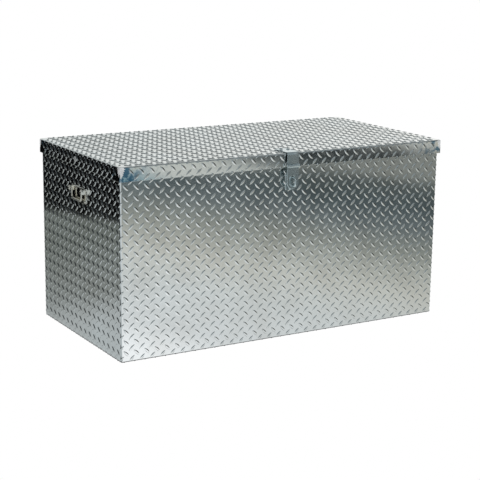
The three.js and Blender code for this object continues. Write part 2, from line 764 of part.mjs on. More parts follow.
// ---------------------------------------------------------------- assembly

add('body_wrap', bodyWrap(), 'treadPlate');
add('rear_panel', rearPanel(), 'treadPlate');
add('bottom_panel', bottomPanel(), 'plainAluminium');
add('rim_seal', rimSeal(), 'rubber');
add('lid_shell', lidShell(), 'treadPlate');
['left', 'centre', 'right'].forEach((place, i) => {
  add(`lid_stiffener_${place}`, lidStiffener(stiffener.xs[i]), 'plainAluminium');
});

add('hinge_body_leaf', hingeBodyLeaf(), 'stainless');
add('hinge_lid_leaf', hingeLidLeaf(), 'stainless');
add('hinge_pin', hingePin(), 'stainless');

add('hasp_leaf', haspLeaf(), 'zincPlate');
add('hasp_strap', haspStrap(), 'zincPlate');
add('hasp_pin', haspPin(), 'zincPlate');
add('hasp_staple', haspStaple(), 'zincPlate');
addEach('hasp_bolt', haspBolts(), 'zincPlate');
addEach('staple_bolt', stapleBolts(), 'zincPlate');

addPair('handle_plate', handlePlate(), 'chrome');
addPair('handle_bail', handleBail(), 'chrome');
addPair('handle_backing', handleBacking(), 'plainAluminium');
addEach('handle_bolt_left', handleBolts(), 'chrome');
addEach('handle_bolt_right', handleBolts().map(mirrored), 'chrome');

addPair('strut_body_bracket', strutBodyBracket(), 'zincPlate');
addPair('strut_lower_socket', strutSocket(lowerPivot, strutAxis, true), 'plastic');
addPair('strut_cylinder', strutCylinder(), 'blackPaint');
addPair('strut_rod', strutRod(), 'chrome');
addPair('strut_upper_socket', strutSocket(upperPivot, strutAxis.clone().negate(), false), 'plastic');
addPair('strut_lid_bracket', strutLidBracket(), 'zincPlate');
addPair('lid_stud_rivet', lidStudRivet(), 'plainAluminium');

export default toolBox;
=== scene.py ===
"""The look of the truck tool box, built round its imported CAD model.

Lengths are millimetres until a mesh is finished, and metres after that, in the CAD model's frame:
+Z up, front facing -Y, origin at the centre of the underside.
"""

import json
import math

import bmesh
import bpy
import numpy as np
from mathutils import Matrix, Vector


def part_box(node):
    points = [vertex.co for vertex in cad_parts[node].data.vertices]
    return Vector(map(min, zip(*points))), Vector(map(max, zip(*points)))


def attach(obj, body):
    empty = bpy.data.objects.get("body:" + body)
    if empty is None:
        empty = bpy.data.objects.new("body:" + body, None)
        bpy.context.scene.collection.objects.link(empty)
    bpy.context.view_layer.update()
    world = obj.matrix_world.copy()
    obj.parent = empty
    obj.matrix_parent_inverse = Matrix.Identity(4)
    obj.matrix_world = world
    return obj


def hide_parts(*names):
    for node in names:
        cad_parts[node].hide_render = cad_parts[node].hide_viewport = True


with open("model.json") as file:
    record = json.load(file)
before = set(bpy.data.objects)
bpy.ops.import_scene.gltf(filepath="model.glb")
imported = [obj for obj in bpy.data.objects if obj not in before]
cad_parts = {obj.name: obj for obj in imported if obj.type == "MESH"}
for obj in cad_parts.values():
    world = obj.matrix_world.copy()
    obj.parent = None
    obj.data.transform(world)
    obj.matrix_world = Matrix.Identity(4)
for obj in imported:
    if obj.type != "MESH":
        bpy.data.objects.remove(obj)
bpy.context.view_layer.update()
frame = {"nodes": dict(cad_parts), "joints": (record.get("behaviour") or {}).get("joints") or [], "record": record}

# ---- sizes

MM = 0.001  # metres in a millimetre


def box_mm(name):
    """Lowest and highest corner of a CAD node, in millimetres."""
    low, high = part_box(name)
    return low / MM, high / MM


RECORD = frame["record"]
SLOT_OF = {part["node"]: part["material_slot"] for part in RECORD["subparts"]}
SIDES = (("left", -1), ("right", 1))  # each end's name and its sign along x
BODY_OF = {name: body for body, names in RECORD["behaviour"]["bodies"].items() for name in names}
PIVOTS = {joint["name"]: Vector(joint["pos_m"]) / MM for joint in frame["joints"] if "pos_m" in joint}
AXES = {joint["name"]: Vector(joint["axis"]) for joint in frame["joints"]}

BODY_LOW, BODY_HIGH = box_mm("body_wrap")
LID_LOW, LID_HIGH = box_mm("lid_shell")
LID_MIDDLE = (LID_LOW.y + LID_HIGH.y) / 2  # along y
LID_HALF_DEPTH = (LID_HIGH.y - LID_LOW.y) / 2
HALF_WIDTH = BODY_HIGH.x
HALF_DEPTH = -BODY_LOW.y
RIM = BODY_HIGH.z
SHEET = 2.0
FLANGE = 22.0  # from the wall's outer face to the flange's edge
BODY_BEND = 5.0  # radius of the body's two vertical bends
LID_CORNER = 6.0  # radius of the lid's vertical corners
FOLD = 4.0  # radius of every fold along an edge

LUG_PITCH = (36.1, 35.2)  # across and along the sheet, between lugs that slant the same way
LUG_LENGTH = 29.0
LUG_WIDTH = 9.6
LUG_HEIGHT = 1.8
LUG_ROOT = 0.35  # how far a lug starts below the sheet's face
BODY_FIRST_LUG = (18.2, 555.9)  # one lug on each developed sheet, slanting down to the right
REAR_FIRST_LUG = (-590.0, 555.0)
LID_FIRST_LUG = (-577.6, LID_LOW.y - 14.6)


# ---- mesh tools


def mesh_of(bm):
    """The bmesh as a mesh, with touching points merged and faces turned outwards."""
    bmesh.ops.remove_doubles(bm, verts=bm.verts, dist=1e-4)
    bmesh.ops.recalc_face_normals(bm, faces=bm.faces)
    mesh = bpy.data.meshes.new("part")
    bm.to_mesh(mesh)
    bm.free()
    return mesh


def skin(rings, looped=False):
    """A closed surface through rings of equal length, capped at both ends or joined end to end."""
    bm = bmesh.new()
    grid = [[bm.verts.new(point) for point in ring] for ring in rings]
    sides = len(grid[0])
    for here, there in zip(grid, grid[1:] + grid[:1] if looped else grid[1:]):
        for k in range(sides):
            nxt = (k + 1) % sides
            bm.faces.new((here[k], here[nxt], there[nxt], there[k]))
    if not looped:
        bm.faces.new(reversed(grid[0]))
        bm.faces.new(grid[-1])
    return mesh_of(bm)


def linked(name, data):
    """A new object in the scene."""
    made = bpy.data.objects.new(name, data)
    bpy.context.scene.collection.objects.link(made)
    return made


def modified(mesh, kind, **settings):
    """The mesh after one modifier."""
    holder = linked("holder", mesh)
    modifier = holder.modifiers.new(kind, kind)
    for name, value in settings.items():
        setattr(modifier, name, value)
    graph = bpy.context.evaluated_depsgraph_get()
    result = bpy.data.meshes.new_from_object(holder.evaluated_get(graph))
    bpy.data.objects.remove(holder)
    return result


def boolean(mesh, tool, operation):
    """One solid joined with, cut by or limited to another."""
    other = linked("tool", tool)
    result = modified(mesh, "BOOLEAN", operation=operation, object=other, solver="MANIFOLD")
    bpy.data.objects.remove(other)
    return result


def united(whole, *others):
    """Overlapping solids as one."""
    for other in others:
        whole = boolean(whole, other, "UNION")
    return whole


def gathered(meshes):
    """Solids that don't touch, in one mesh."""
    bm = bmesh.new()
    for mesh in meshes:
        bm.from_mesh(mesh)
    return mesh_of(bm)


def mirrored(mesh):
    """The same mesh on the other end of the box."""
    mesh.transform(Matrix.Scale(-1, 4, (1, 0, 0)))
    return gathered([mesh])


def arc(centre, radius, start, end, steps):
    """Points on an arc in a plane, from one angle to another, in degrees."""
    cx, cy = centre
    angles = [math.radians(start + (end - start) * i / steps) for i in range(steps + 1)]
    return [(cx + radius * math.cos(a), cy + radius * math.sin(a)) for a in angles]


def inset(outline, distance):
    """An outline moved inwards, or outwards for a negative distance."""
    ahead = outline[1:] + outline[:1]
    behind = outline[-1:] + outline[:-1]
    turn = math.copysign(1, sum(a[0] * b[1] - b[0] * a[1] for a, b in zip(outline, ahead)))
    moved = []
    for point, before, after in zip(outline, behind, ahead):
        along = (Vector(after) - Vector(before)).normalized() * turn * distance
        moved.append((point[0] - along.y, point[1] + along.x))
    return moved


def eased(low, high, edge, steps=3):
    """Depth and inset of each layer of a plate whose two edges are rounded."""
    angles = [math.pi / 2 * k / steps for k in range(steps + 1)]
    layers = [(low + edge * (1 - math.cos(a)), edge * (1 - math.sin(a))) for a in angles]
    return layers + [(low + high - depth, inward) for depth, inward in reversed(layers)]


def layered(outline, place, layers):
    """A solid through an outline, inset at each depth. `place` puts across, up and depth in space."""
    return skin([[place(a, b, depth) for a, b in inset(outline, inward)] for depth, inward in layers])


def slab(outline, place, low, high, edge=0.5):
    """A flat plate with rounded edges."""
    return layered(outline, place, eased(low, high, edge))


def hole_tool(outline, place, low, high, edge=0.5):
    """What cuts a hole with rounded edges out of a plate."""
    layers = [(depth, -inward) for depth, inward in eased(low, high, edge)]
    return layered(outline, place, [(low - 1, -edge)] + layers + [(high + 1, -edge)])


def rounded_rectangle(x, y, radius, steps=6):
    left, right, down, up = x[0] + radius, x[1] - radius, y[0] + radius, y[1] - radius
    outline = []
    for quarter, centre in enumerate(((right, up), (left, up), (left, down), (right, down))):
        outline += arc(centre, radius, 90 * quarter, 90 * quarter + 90, steps)
    return outline


def facing_x(a, b, depth):
    """Across is y and up is z."""
    return Vector((depth, a, b))


def facing_y(a, b, depth):
    """Across is x and up is z."""
    return Vector((a, depth, b))


def square_to(direction):
    """Two unit vectors at right angles to a direction."""
    helper = Vector((0, 0, 1)) if abs(direction.z) < 0.9 else Vector((1, 0, 0))
    first = direction.cross(helper).normalized()
    return first, direction.cross(first)


def circle(centre, first, second, radius, sides):
    angles = [2 * math.pi * k / sides for k in range(sides)]
    return [centre + (first * math.cos(a) + second * math.sin(a)) * radius for a in angles]


def turned(profile, origin, axis, sides=24):
    """A turned piece through (radius, distance along the axis) points."""
    origin, axis = Vector(origin), Vector(axis).normalized()
    first, second = square_to(axis)
    return skin([circle(origin + axis * along, first, second, radius, sides) for radius, along in profile])


def bored(mesh, pivot, axis, radius, reach, sides=16):
    """The mesh with a round hole drilled along an axis, as far as `reach` each way from a point on it."""
    drill = turned([(radius, -reach), (radius, reach)], pivot, axis, sides)
    return boolean(mesh, drill, "DIFFERENCE")


def rod_along(path, radius, sides=16):
    """A round rod along a path."""
    first, _ = square_to((path[1] - path[0]).normalized())
    rings = []
    for k, point in enumerate(path):
        direction = (path[min(k + 1, len(path) - 1)] - path[max(k - 1, 0)]).normalized()
        first = (first - direction * first.dot(direction)).normalized()
        rings.append(circle(point, first, direction.cross(first), radius, sides))
    return skin(rings)


def bent_path(corners, bend, steps=8):
    """A path whose inner corners are curved, starting the bend the same distance from each corner."""
    path = [corners[0]]
    for before, corner, after in zip(corners, corners[1:], corners[2:]):
        entry = corner + (before - corner).normalized() * bend
        leave = corner + (after - corner).normalized() * bend
        for k in range(steps + 1):
            t = k / steps
            path.append(entry * (1 - t) ** 2 + corner * 2 * t * (1 - t) + leave * t * t)
    return path + [corners[-1]]


def dome(radius, face, height, steps=6, rim=0.25):
    """The profile of a low domed head from its underside to its top, with a small flat at the crown."""
    skirt = height * rim
    angles = [math.radians(84 * k / steps) for k in range(steps + 1)]
    rise = height - skirt
    return [(radius, face)] + [(radius * math.cos(a), face + skirt + rise * math.sin(a)) for a in angles]


def eased_bar(radius, start, end, edge=0.6):
    """The profile of a plain round bar with eased ends."""
    return [(radius - edge, start), (radius, start + edge), (radius, end - edge), (radius - edge, end)]


def shade(mesh, sharp_angle=44, flatness=0.003):
    """Smooth shading on curved faces, and flat shading on those that face along an axis."""
    points = np.empty(3 * len(mesh.vertices), np.float32)
    mesh.vertices.foreach_get("co", points)
    corners = np.empty(len(mesh.loops), np.int32)
    mesh.loops.foreach_get("vertex_index", corners)
    starts = np.empty(len(mesh.polygons), np.int32)
    mesh.polygons.foreach_get("loop_start", starts)
    placed = points.reshape(-1, 3)[corners]
    extent = np.maximum.reduceat(placed, starts) - np.minimum.reduceat(placed, starts)
    mesh.set_sharp_from_angle(angle=math.radians(sharp_angle))
    mesh.polygons.foreach_set("use_smooth", (extent.min(axis=1) > flatness).tolist())


def piece(name, mesh, body, material, slot, replaces=()):
    """A finished mesh in millimetres as a piece of the object, in metres."""
    shade(mesh)
    mesh.transform(Matrix.Scale(MM, 4))
    mesh.materials.clear()
    mesh.materials.append(material)
    mesh.name = name
    made = linked(name, mesh)
    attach(made, body)
    if replaces:
        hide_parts(*replaces)
    return made


# ---- folded sheets


def corner_stations(centre, start, radius, steps=8):
    """Stations round a vertical bend: centre, outward direction, outward diagonal and radius."""
    middle = math.radians(start + 45)
    diagonal = Vector((round(math.cos(middle) * 2**0.5), round(math.sin(middle) * 2**0.5)))
    for i in range(steps + 1):
        angle = math.radians(start + 90 * i / steps)
        yield Vector(centre), Vector((math.cos(angle), math.sin(angle))), diagonal, radius


def round_stations(half, middle, radius):
    """Stations right round a rectangle with round corners, from half its size and its middle along y."""
    for sx, sy, start in ((1, 1, 0), (-1, 1, 90), (-1, -1, 180), (1, -1, 270)):
        centre = (sx * (half[0] - radius), middle + sy * (half[1] - radius))
        yield from corner_stations(centre, start, radius)


def plan_point(station, inward, z):
    """The point a distance in from the sheet's outer face at one station, mitred past the bend's centre."""
    centre, direction, diagonal, radius = station
    if diagonal is not None and inward > radius:
        flat = centre + diagonal * (radius - inward)
    else:
        flat = centre + direction * (radius - inward)
    return Vector((flat.x, flat.y, z))


def body_stations():
    """Along the left end, round the front and back along the right end."""
    x, y = HALF_WIDTH - BODY_BEND, HALF_DEPTH - BODY_BEND
    yield Vector((-x, HALF_DEPTH)), Vector((-1, 0)), None, BODY_BEND
    yield from corner_stations((-x, -y), 180, BODY_BEND)
    yield from corner_stations((x, -y), 270, BODY_BEND)
    yield Vector((x, HALF_DEPTH)), Vector((1, 0)), None, BODY_BEND


def flanged_wall(flange):
    """Section of a wall with an inward flange at top and bottom, as (inward, height)."""
    top = RIM - FOLD
    inner = FOLD - SHEET
    outside = [(flange, 0)]
    outside += arc((FOLD, FOLD), FOLD, 270, 180, 8)
    outside += arc((FOLD, top), FOLD, 180, 90, 8)
    outside += [(flange, RIM), (flange, RIM - SHEET)]
    inside = arc((FOLD, top), inner, 90, 180, 6)
    inside += arc((FOLD, FOLD), inner, 180, 270, 6)
    return outside + inside + [(flange, SHEET)]


def body_wrap_sheet():
    section = flanged_wall(FLANGE)
    return skin([[plan_point(s, n, z) for n, z in section] for s in body_stations()])


def rear_panel_sheet():
    """The rear wall's section, run straight across between the two ends."""
    low, high = box_mm("rear_panel")
    section = flanged_wall(FLANGE)
    wall = skin([[Vector((x, high.y - n, z)) for n, z in section] for x in (low.x, high.x)])
    flange_end = HALF_WIDTH - FLANGE - 0.3
    for side in (-1, 1):
        for bottom in (-1, RIM - FOLD):
            notch = block(
                sorted((side * flange_end, side * (high.x + 1))),
                (low.y - 1, high.y - SHEET - 0.3),
                (bottom, bottom + FOLD + 1),
            )
            wall = boolean(wall, notch, "DIFFERENCE")
    return wall


def lid_sheet():
    """A tray: the top, four skirts and their inner faces, all one sheet."""
    stations = list(round_stations((LID_HIGH.x, LID_HALF_DEPTH), LID_MIDDLE, LID_CORNER))
    top, bottom = LID_HIGH.z, LID_LOW.z
    round_edge = 0.95
    section = arc((FOLD, top - FOLD), FOLD, 90, 180, 8)
    section += arc((round_edge, bottom + round_edge), round_edge, 180, 270, 3)
    section += arc((SHEET - round_edge, bottom + round_edge), round_edge, 270, 360, 3)
    section += arc((FOLD, top - FOLD), FOLD - SHEET, 180, 90, 6)
    return skin([[plan_point(s, n, z) for s in stations] for n, z in section])


SKIRT_SPLAY = 0.6  # the skirts lean out this much at their lower edge


def splay(mesh):
    """Lean the finished lid's four skirts out a little, as folded skirts do.

    It follows the shading, which takes a face that leans off its axis for a curved one.
    """
    low, high = LID_LOW * MM, LID_HIGH * MM
    fold = high.z - FOLD * MM
    depth = 12 * MM
    for vertex in mesh.vertices:
        out = SKIRT_SPLAY * MM * max(fold - vertex.co.z, 0) / (fold - low.z)
        if abs(vertex.co.x) > high.x - depth:
            vertex.co.x += math.copysign(out, vertex.co.x)
        if vertex.co.y < low.y + depth:
            vertex.co.y -= out
        if vertex.co.y > high.y - depth:
            vertex.co.y += out


def block(x, y, z):
    """A plain box from its limits, used as a cutter."""
    corners = ((x[0], y[0]), (x[1], y[0]), (x[1], y[1]), (x[0], y[1]))
    return skin([[(px, py, pz) for px, py in corners] for pz in z])


# ---- raised lugs


def lug_template(slant):
    """One lens-shaped lug about the origin, as points and faces: along u and v, and out of the sheet."""
    section = [(-1, None), (-0.66, 0.78), (0, 1), (0.66, 0.78), (1, None)]
    turn = math.radians(45) * slant
    rings = [[(-LUG_LENGTH / 2, 0, -LUG_ROOT)]]
    for along in (-0.8, -0.45, 0, 0.45, 0.8):
        half = LUG_WIDTH / 2 * (1 - along * along)
        rise = LUG_HEIGHT * (1 - along**4) ** 0.5
        ring = [(across * half, -LUG_ROOT if share is None else rise * share) for across, share in section]
        rings.append([(along * LUG_LENGTH / 2, across, height) for across, height in ring])
    rings.append([(LUG_LENGTH / 2, 0, -LUG_ROOT)])
    points, faces, starts = [], [], []
    for ring in rings:
        starts.append(len(points))
        points += ring
    for here, there in zip(starts[1:], starts[2:-1]):
        for k in range(5):
            nxt = (k + 1) % 5
            faces.append((here + k, there + k, there + nxt, here + nxt))
    for k in range(5):
        nxt = (k + 1) % 5
        faces.append((0, starts[1] + k, starts[1] + nxt))
        faces.append((starts[-1], starts[-2] + nxt, starts[-2] + k))
    c, s = math.cos(turn), math.sin(turn)
    return [(u * c - v * s, u * s + v * c, h) for u, v, h in points], faces


LUGS = {slant: lug_template(slant) for slant in (-1, 1)}
LUG_REACH = LUG_LENGTH / 2 * math.sin(math.radians(45)) + 1


def clipped(points, faces, limits):
    """A lug cut square at the edges of its sheet."""
    (u0, u1), (v0, v1) = limits
    bm = bmesh.new()
    verts = [bm.verts.new(p) for p in points]
    for face in faces:
        bm.faces.new([verts[i] for i in face])
    sides = [((u0, 0, 0), (-1, 0, 0)), ((u1, 0, 0), (1, 0, 0))]
    ends = [((0, v0, 0), (0, -1, 0)), ((0, v1, 0), (0, 1, 0))]
    for origin, normal in sides + ends:
        geometry = bm.verts[:] + bm.edges[:] + bm.faces[:]
        bmesh.ops.bisect_plane(bm, geom=geometry, plane_co=origin, plane_no=normal, clear_outer=True)
        bmesh.ops.holes_fill(bm, edges=[e for e in bm.edges if e.is_boundary], sides=0)
    bm.verts.index_update()
    result = [tuple(v.co) for v in bm.verts], [tuple(v.index for v in f.verts) for f in bm.faces]
    bm.free()
    return result


def tread(first, limits, fold, keep=lambda u, v: True):
    """Lugs over a developed sheet. `first` is the centre of one lug that slants down to the right.

    `limits` are the sheet's edges, and `fold` puts a flat point with its height where it goes in space.
    """
    (u0, u1), (v0, v1) = limits
    points, faces = [], []
    across, up = LUG_PITCH
    for slant, shift in ((-1, 0), (1, 0.5)):
        fu, fv = first[0] + shift * across, first[1] + shift * up
        for i in range(math.floor((u0 - fu) / across), math.ceil((u1 - fu) / across) + 1):
            for j in range(math.floor((v0 - fv) / up), math.ceil((v1 - fv) / up) + 1):
                u, v = fu + i * across, fv + j * up
                if not keep(u, v):
                    continue
                lug_points, lug_faces = LUGS[slant]
                lug_points = [(u + du, v + dv, h) for du, dv, h in lug_points]
                room = min(u - u0, u1 - u, v - v0, v1 - v)
                if room <= LUG_REACH:
                    lug_points, lug_faces = clipped(lug_points, lug_faces, limits)
                start = len(points)
                points += [fold(*p) for p in lug_points]
                faces += [tuple(start + k for k in face) for face in lug_faces]
    mesh = bpy.data.meshes.new("lugs")
    mesh.from_pydata(points, [], faces)
    return gathered([mesh])


def rolled(distance, radius, height):
    """Where a point of a sheet lies past the start of a square bend: how far on, and how far out.

    The distance is measured along the sheet, below zero before the bend, and the height is above it.
    """
    angle = min(max(distance, 0) / radius, math.pi / 2)
    beyond = max(distance - radius * math.pi / 2, 0)
    on = (radius + height) * math.sin(angle) + min(distance, 0)
    out = (radius + height) * math.cos(angle) - radius - beyond
    return on, out


def fold_body(u, v, height):
    """Developed body sheet: u runs along the front from its left edge, and on round both ends."""
    down, proud = rolled(FOLD - v, FOLD, height)
    from_middle = u - HALF_WIDTH
    bend = HALF_WIDTH - BODY_BEND
    on, out = rolled(abs(from_middle) - bend, BODY_BEND, proud)
    return math.copysign(bend + on, from_middle), -HALF_DEPTH - out, FOLD - down


def fold_lid(u, v, height):
    """Developed lid sheet: u and v are x and y on the flat top, and run on down the four skirts."""
    flat = (LID_HIGH.x - FOLD, LID_HIGH.y - FOLD, LID_LOW.y + FOLD)
    beyond_x = abs(u) - flat[0]
    beyond_y = v - flat[1] if v > 0 else flat[2] - v
    on, out = rolled(max(beyond_x, beyond_y), FOLD, height)
    if beyond_x > beyond_y:
        return math.copysign(flat[0] + on, u), v, LID_HIGH.z + out
    return u, (flat[1] + on if v > 0 else flat[2] - on), LID_HIGH.z + out


def fold_rear(u, v, height):
    """Developed rear sheet: u runs across from the left as seen from behind."""
    return -u, HALF_DEPTH + height, v


LID_SKIRT_RUN = FOLD * (math.pi / 2 - 2) + LID_HIGH.z - LID_LOW.z  # past the box's edge, flattened
LID_GROUND = 24  # the lid's welded corners are ground smooth this far from each corner


def lid_keeps(u, v):
    """False for a lug on a ground corner."""
    from_side = LID_HIGH.x - abs(u)
    from_end = LID_HIGH.y - v if v > 0 else v - LID_LOW.y
    return not (from_side < LID_GROUND and from_end < LID_GROUND)


# ---- materials


def new_tree(name):
    """A new material and its empty node tree."""
    material = bpy.data.materials.new(name)
    material.use_nodes = True
    material.node_tree.nodes.clear()
    return material, material.node_tree


def node(tree, kind, inputs=None, **settings):
    """A shader node, with its inputs set to values or linked to other nodes' outputs."""
    made = tree.nodes.new("ShaderNode" + kind)
    for name, value in settings.items():
        setattr(made, name, value)
    for name, value in (inputs or {}).items():
        if isinstance(value, bpy.types.NodeSocket):
            tree.links.new(value, made.inputs[name])
        else:
            made.inputs[name].default_value = value
    return made


def colour(hex_code, alpha=1.0):
    """A colour such as "c8cccb" in linear light."""
    channels = [int(hex_code[i:i + 2], 16) / 255 for i in (0, 2, 4)]
    linear = [c / 12.92 if c <= 0.04045 else ((c + 0.055) / 1.055) ** 2.4 for c in channels]
    return (*linear, alpha)


def math_node(tree, operation, first, second=0.0):
    return node(tree, "Math", {0: first, 1: second}, operation=operation).outputs[0]


def times(tree, first, second):
    return math_node(tree, "MULTIPLY", first, second)


def away_from(tree, value, place=0.0):
    """How far a value is from a place, either way."""
    return math_node(tree, "ABSOLUTE", math_node(tree, "SUBTRACT", value, place))


def noise(tree, scale, detail, roughness=0.5, stretch=(1, 1, 1)):
    """Noise on the piece's own coordinates, stretched by a different amount on each axis."""
    place = node(tree, "TexCoord").outputs["Object"]
    mapped = node(tree, "Mapping", {"Vector": place, "Scale": stretch}).outputs["Vector"]
    inputs = {"Vector": mapped, "Scale": scale, "Detail": detail, "Roughness": roughness}
    return node(tree, "TexNoise", inputs).outputs["Fac"]


def spread(tree, value, low, high, from_low=0.3, from_high=0.7):
    """A noise value spread between two limits."""
    inputs = {"Value": value, "From Min": from_low, "From Max": from_high, "To Min": low, "To Max": high}
    return node(tree, "MapRange", inputs).outputs["Result"]


def mixed(tree, factor, first, second):
    """A blend of two colours."""
    made = node(tree, "Mix", data_type="RGBA")
    for socket, value in ((0, factor), (6, first), (7, second)):
        if isinstance(value, bpy.types.NodeSocket):
            tree.links.new(value, made.inputs[socket])
        else:
            made.inputs[socket].default_value = value
    return made.outputs[2]


def finish_surface(tree, base, rough, bumps, metallic=0.0):
    """The surface, with a chain of bumps given as (height, distance in metres, strength)."""
    inputs = {}
    for height, distance, strength in bumps:
        inputs |= {"Height": height, "Distance": distance, "Strength": strength}
        inputs = {"Normal": node(tree, "Bump", inputs).outputs["Normal"]}
    inputs |= {"Base Color": base, "Metallic": metallic, "Roughness": rough}
    surface = node(tree, "BsdfPrincipled", inputs).outputs["BSDF"]
    node(tree, "OutputMaterial", {"Surface": surface})


def heat_tint(tree, base):
    """Straw and blue patches left on the skirts near the lid's welded corners."""
    place = node(tree, "TexCoord").outputs["Object"]
    x, y, z = node(tree, "SeparateXYZ", {"Vector": place}).outputs
    edge_x, edge_y, top = LID_HIGH * MM
    reach = 0.11
    near_x = spread(tree, away_from(tree, x), 0, 1, edge_x - reach, edge_x - 0.01)
    near_y = spread(tree, away_from(tree, y, LID_MIDDLE * MM), 0, 1, edge_y - reach, edge_y - 0.01)
    on_skirt = spread(tree, z, 1, 0, top - FOLD * MM, top)
    near = times(tree, times(tree, near_x, near_y), on_skirt)
    patches = noise(tree, 42, 3, 0.6)
    blue = times(tree, near, spread(tree, patches, 0, 1.3, 0.48, 0.6))
    straw = times(tree, near, spread(tree, patches, 0.4, 0, 0.38, 0.46))
    base = mixed(tree, straw, base, colour("d8cdb0"))
    return mixed(tree, blue, base, colour("68889c"))


def tread_aluminium(name, welded=False):
    """Bright rolled plate: faint mill grain, handling marks, and a slow waviness from the rolls."""
    material, tree = new_tree(name)
    grain = noise(tree, 900, 2, stretch=(6, 6, 1))
    cloud = noise(tree, 7, 4)
    marks = noise(tree, 60, 6, 0.7)
    wave = noise(tree, 3.2, 1)
    base = mixed(tree, spread(tree, cloud, 0, 1), colour("dfe0de"), colour("ecefef"))
    base = mixed(tree, spread(tree, marks, 0, 0.25, 0.55, 0.75), base, colour("b9bab6"))
    if welded:
        base = heat_tint(tree, base)
    rough = math_node(tree, "ADD", spread(tree, cloud, 0.05, 0.09), spread(tree, marks, 0, 0.08, 0.5, 0.8))
    bumps = [(wave, 0.004, 0.12), (marks, 0.0002, 0.06), (grain, 0.00005, 0.05)]
    finish_surface(tree, base, rough, bumps, 1.0)
    return material


def plated_steel(name, light, dark, low, high, metallic=1.0, relief=1.0):
    """Plated or bare steel: patchy tone, fine rolling lines and small pits."""
    material, tree = new_tree(name)
    patch = noise(tree, 45, 5, 0.6)
    pits = noise(tree, 900, 2)
    base = mixed(tree, spread(tree, patch, 0, 1), colour(light), colour(dark))
    rough = spread(tree, patch, low, high)
    bumps = [(patch, 0.0006 * relief, 0.1), (pits, 0.0001 * relief, 0.08)]
    finish_surface(tree, base, rough, bumps, metallic)
    return material


def matt(name, light, dark, roughness, scale, depth):
    """Rubber, nylon or enamel: a mottled dielectric with a fine surface texture."""
    material, tree = new_tree(name)
    mottle = noise(tree, scale, 4, 0.6)
    base = mixed(tree, spread(tree, mottle, 0, 1), colour(light), colour(dark))
    rough = spread(tree, mottle, roughness - 0.06, roughness + 0.06)
    finish_surface(tree, base, rough, [(mottle, depth, 0.3)])
    return material


FINISHES = {
    "tread_plate": tread_aluminium("tread_aluminium"),
    "lid_plate": tread_aluminium("lid_tread_aluminium", welded=True),
    "plain_aluminium": plated_steel("plain_aluminium", "d2d5d5", "bcbfbf", 0.3, 0.45, 0.7),
    "stainless": plated_steel("stainless", "c6cac9", "a9adad", 0.22, 0.36, 0.85),
    "zinc_plate": plated_steel("zinc_plate", "dbe4e6", "b4c2c6", 0.1, 0.22, 0.95),
    "handle_chrome": plated_steel("handle_chrome", "f4f1e9", "d8d4c9", 0.03, 0.07, relief=0.15),
    "rod_chrome": plated_steel("rod_chrome", "e4e6e7", "d0d3d4", 0.04, 0.08),
    "strut_paint": matt("strut_paint", "1d1e1f", "131414", 0.35, 120, 0.0001),
    "socket_plastic": matt("socket_plastic", "2a2b2c", "1d1e1f", 0.55, 300, 0.0001),
    "seal_rubber": matt("seal_rubber", "262626", "161616", 0.8, 400, 0.0003),
    "dressed_weld": plated_steel("dressed_weld", "f4f5f5", "b9bec1", 0.3, 0.5, 0.4),
}


# ---- pieces


def build_sheets():
    """The three tread-plate sheets, each with its lugs raised from the same surface."""
    plate = FINISHES["tread_plate"]
    end_run = 2 * HALF_DEPTH - 2 * BODY_BEND + BODY_BEND * math.pi / 2
    body_limits = ((-end_run + 1, 2 * HALF_WIDTH + end_run - 1), (0.6, RIM - FOLD - 2))
    body_lugs = tread(BODY_FIRST_LUG, body_limits, fold_body)
    wrap = boolean(body_wrap_sheet(), body_lugs, "UNION")
    piece("body_wrap_tread", wrap, "box", plate, "tread_plate", ["body_wrap"])

    rear_low, rear_high = box_mm("rear_panel")
    rear_limits = ((rear_low.x + 1, rear_high.x - 1), (FOLD + 1, RIM - FOLD - 2))
    rear = boolean(rear_panel_sheet(), tread(REAR_FIRST_LUG, rear_limits, fold_rear), "UNION")
    piece("rear_panel_tread", rear, "box", plate, "tread_plate", ["rear_panel"])

    side, run = LID_HIGH.x, LID_SKIRT_RUN
    lid_limits = ((-side - run, side + run), (LID_LOW.y - run, LID_HIGH.y + run))
    lugs = tread(LID_FIRST_LUG, lid_limits, fold_lid, lid_keeps)
    sheet = boolean(lid_sheet(), lugs, "UNION")
    lid = piece("lid_tread", sheet, "lid", FINISHES["lid_plate"], "tread_plate", ["lid_shell"])
    splay(lid.data)


def stand_in(name, mesh):
    """A finished mesh that stands for one CAD node, on its body and with its finish."""
    slot = SLOT_OF[name]
    return piece(name + "_detail", mesh, BODY_OF[name], FINISHES[slot], slot, [name])


def refined(name, edge, steps=2):
    """A CAD node's own shape with its sharp edges eased."""
    bm = bmesh.new()
    bm.from_mesh(frame["nodes"][name].data)
    bm.transform(Matrix.Scale(1 / MM, 4))
    bmesh.ops.dissolve_limit(bm, angle_limit=math.radians(1), verts=bm.verts, edges=bm.edges)
    limit = math.radians(40)
    settings = {"width": edge, "segments": steps, "limit_method": "ANGLE", "angle_limit": limit}
    return modified(mesh_of(bm), "BEVEL", **settings)


# ---- fasteners

BOLT_SHANK = 2.5
BOLT_HEAD_HEIGHT = 2.6
NUT_RADIUS = 5.0
NUT_HEIGHT = 4.0
THREAD_PAST_NUT = 1.5
THREAD_PITCH = 0.8
BOLT_HEADS = {"hasp": 5.5, "staple": 5.0, "handle": 4.6}  # radius of each kind's head


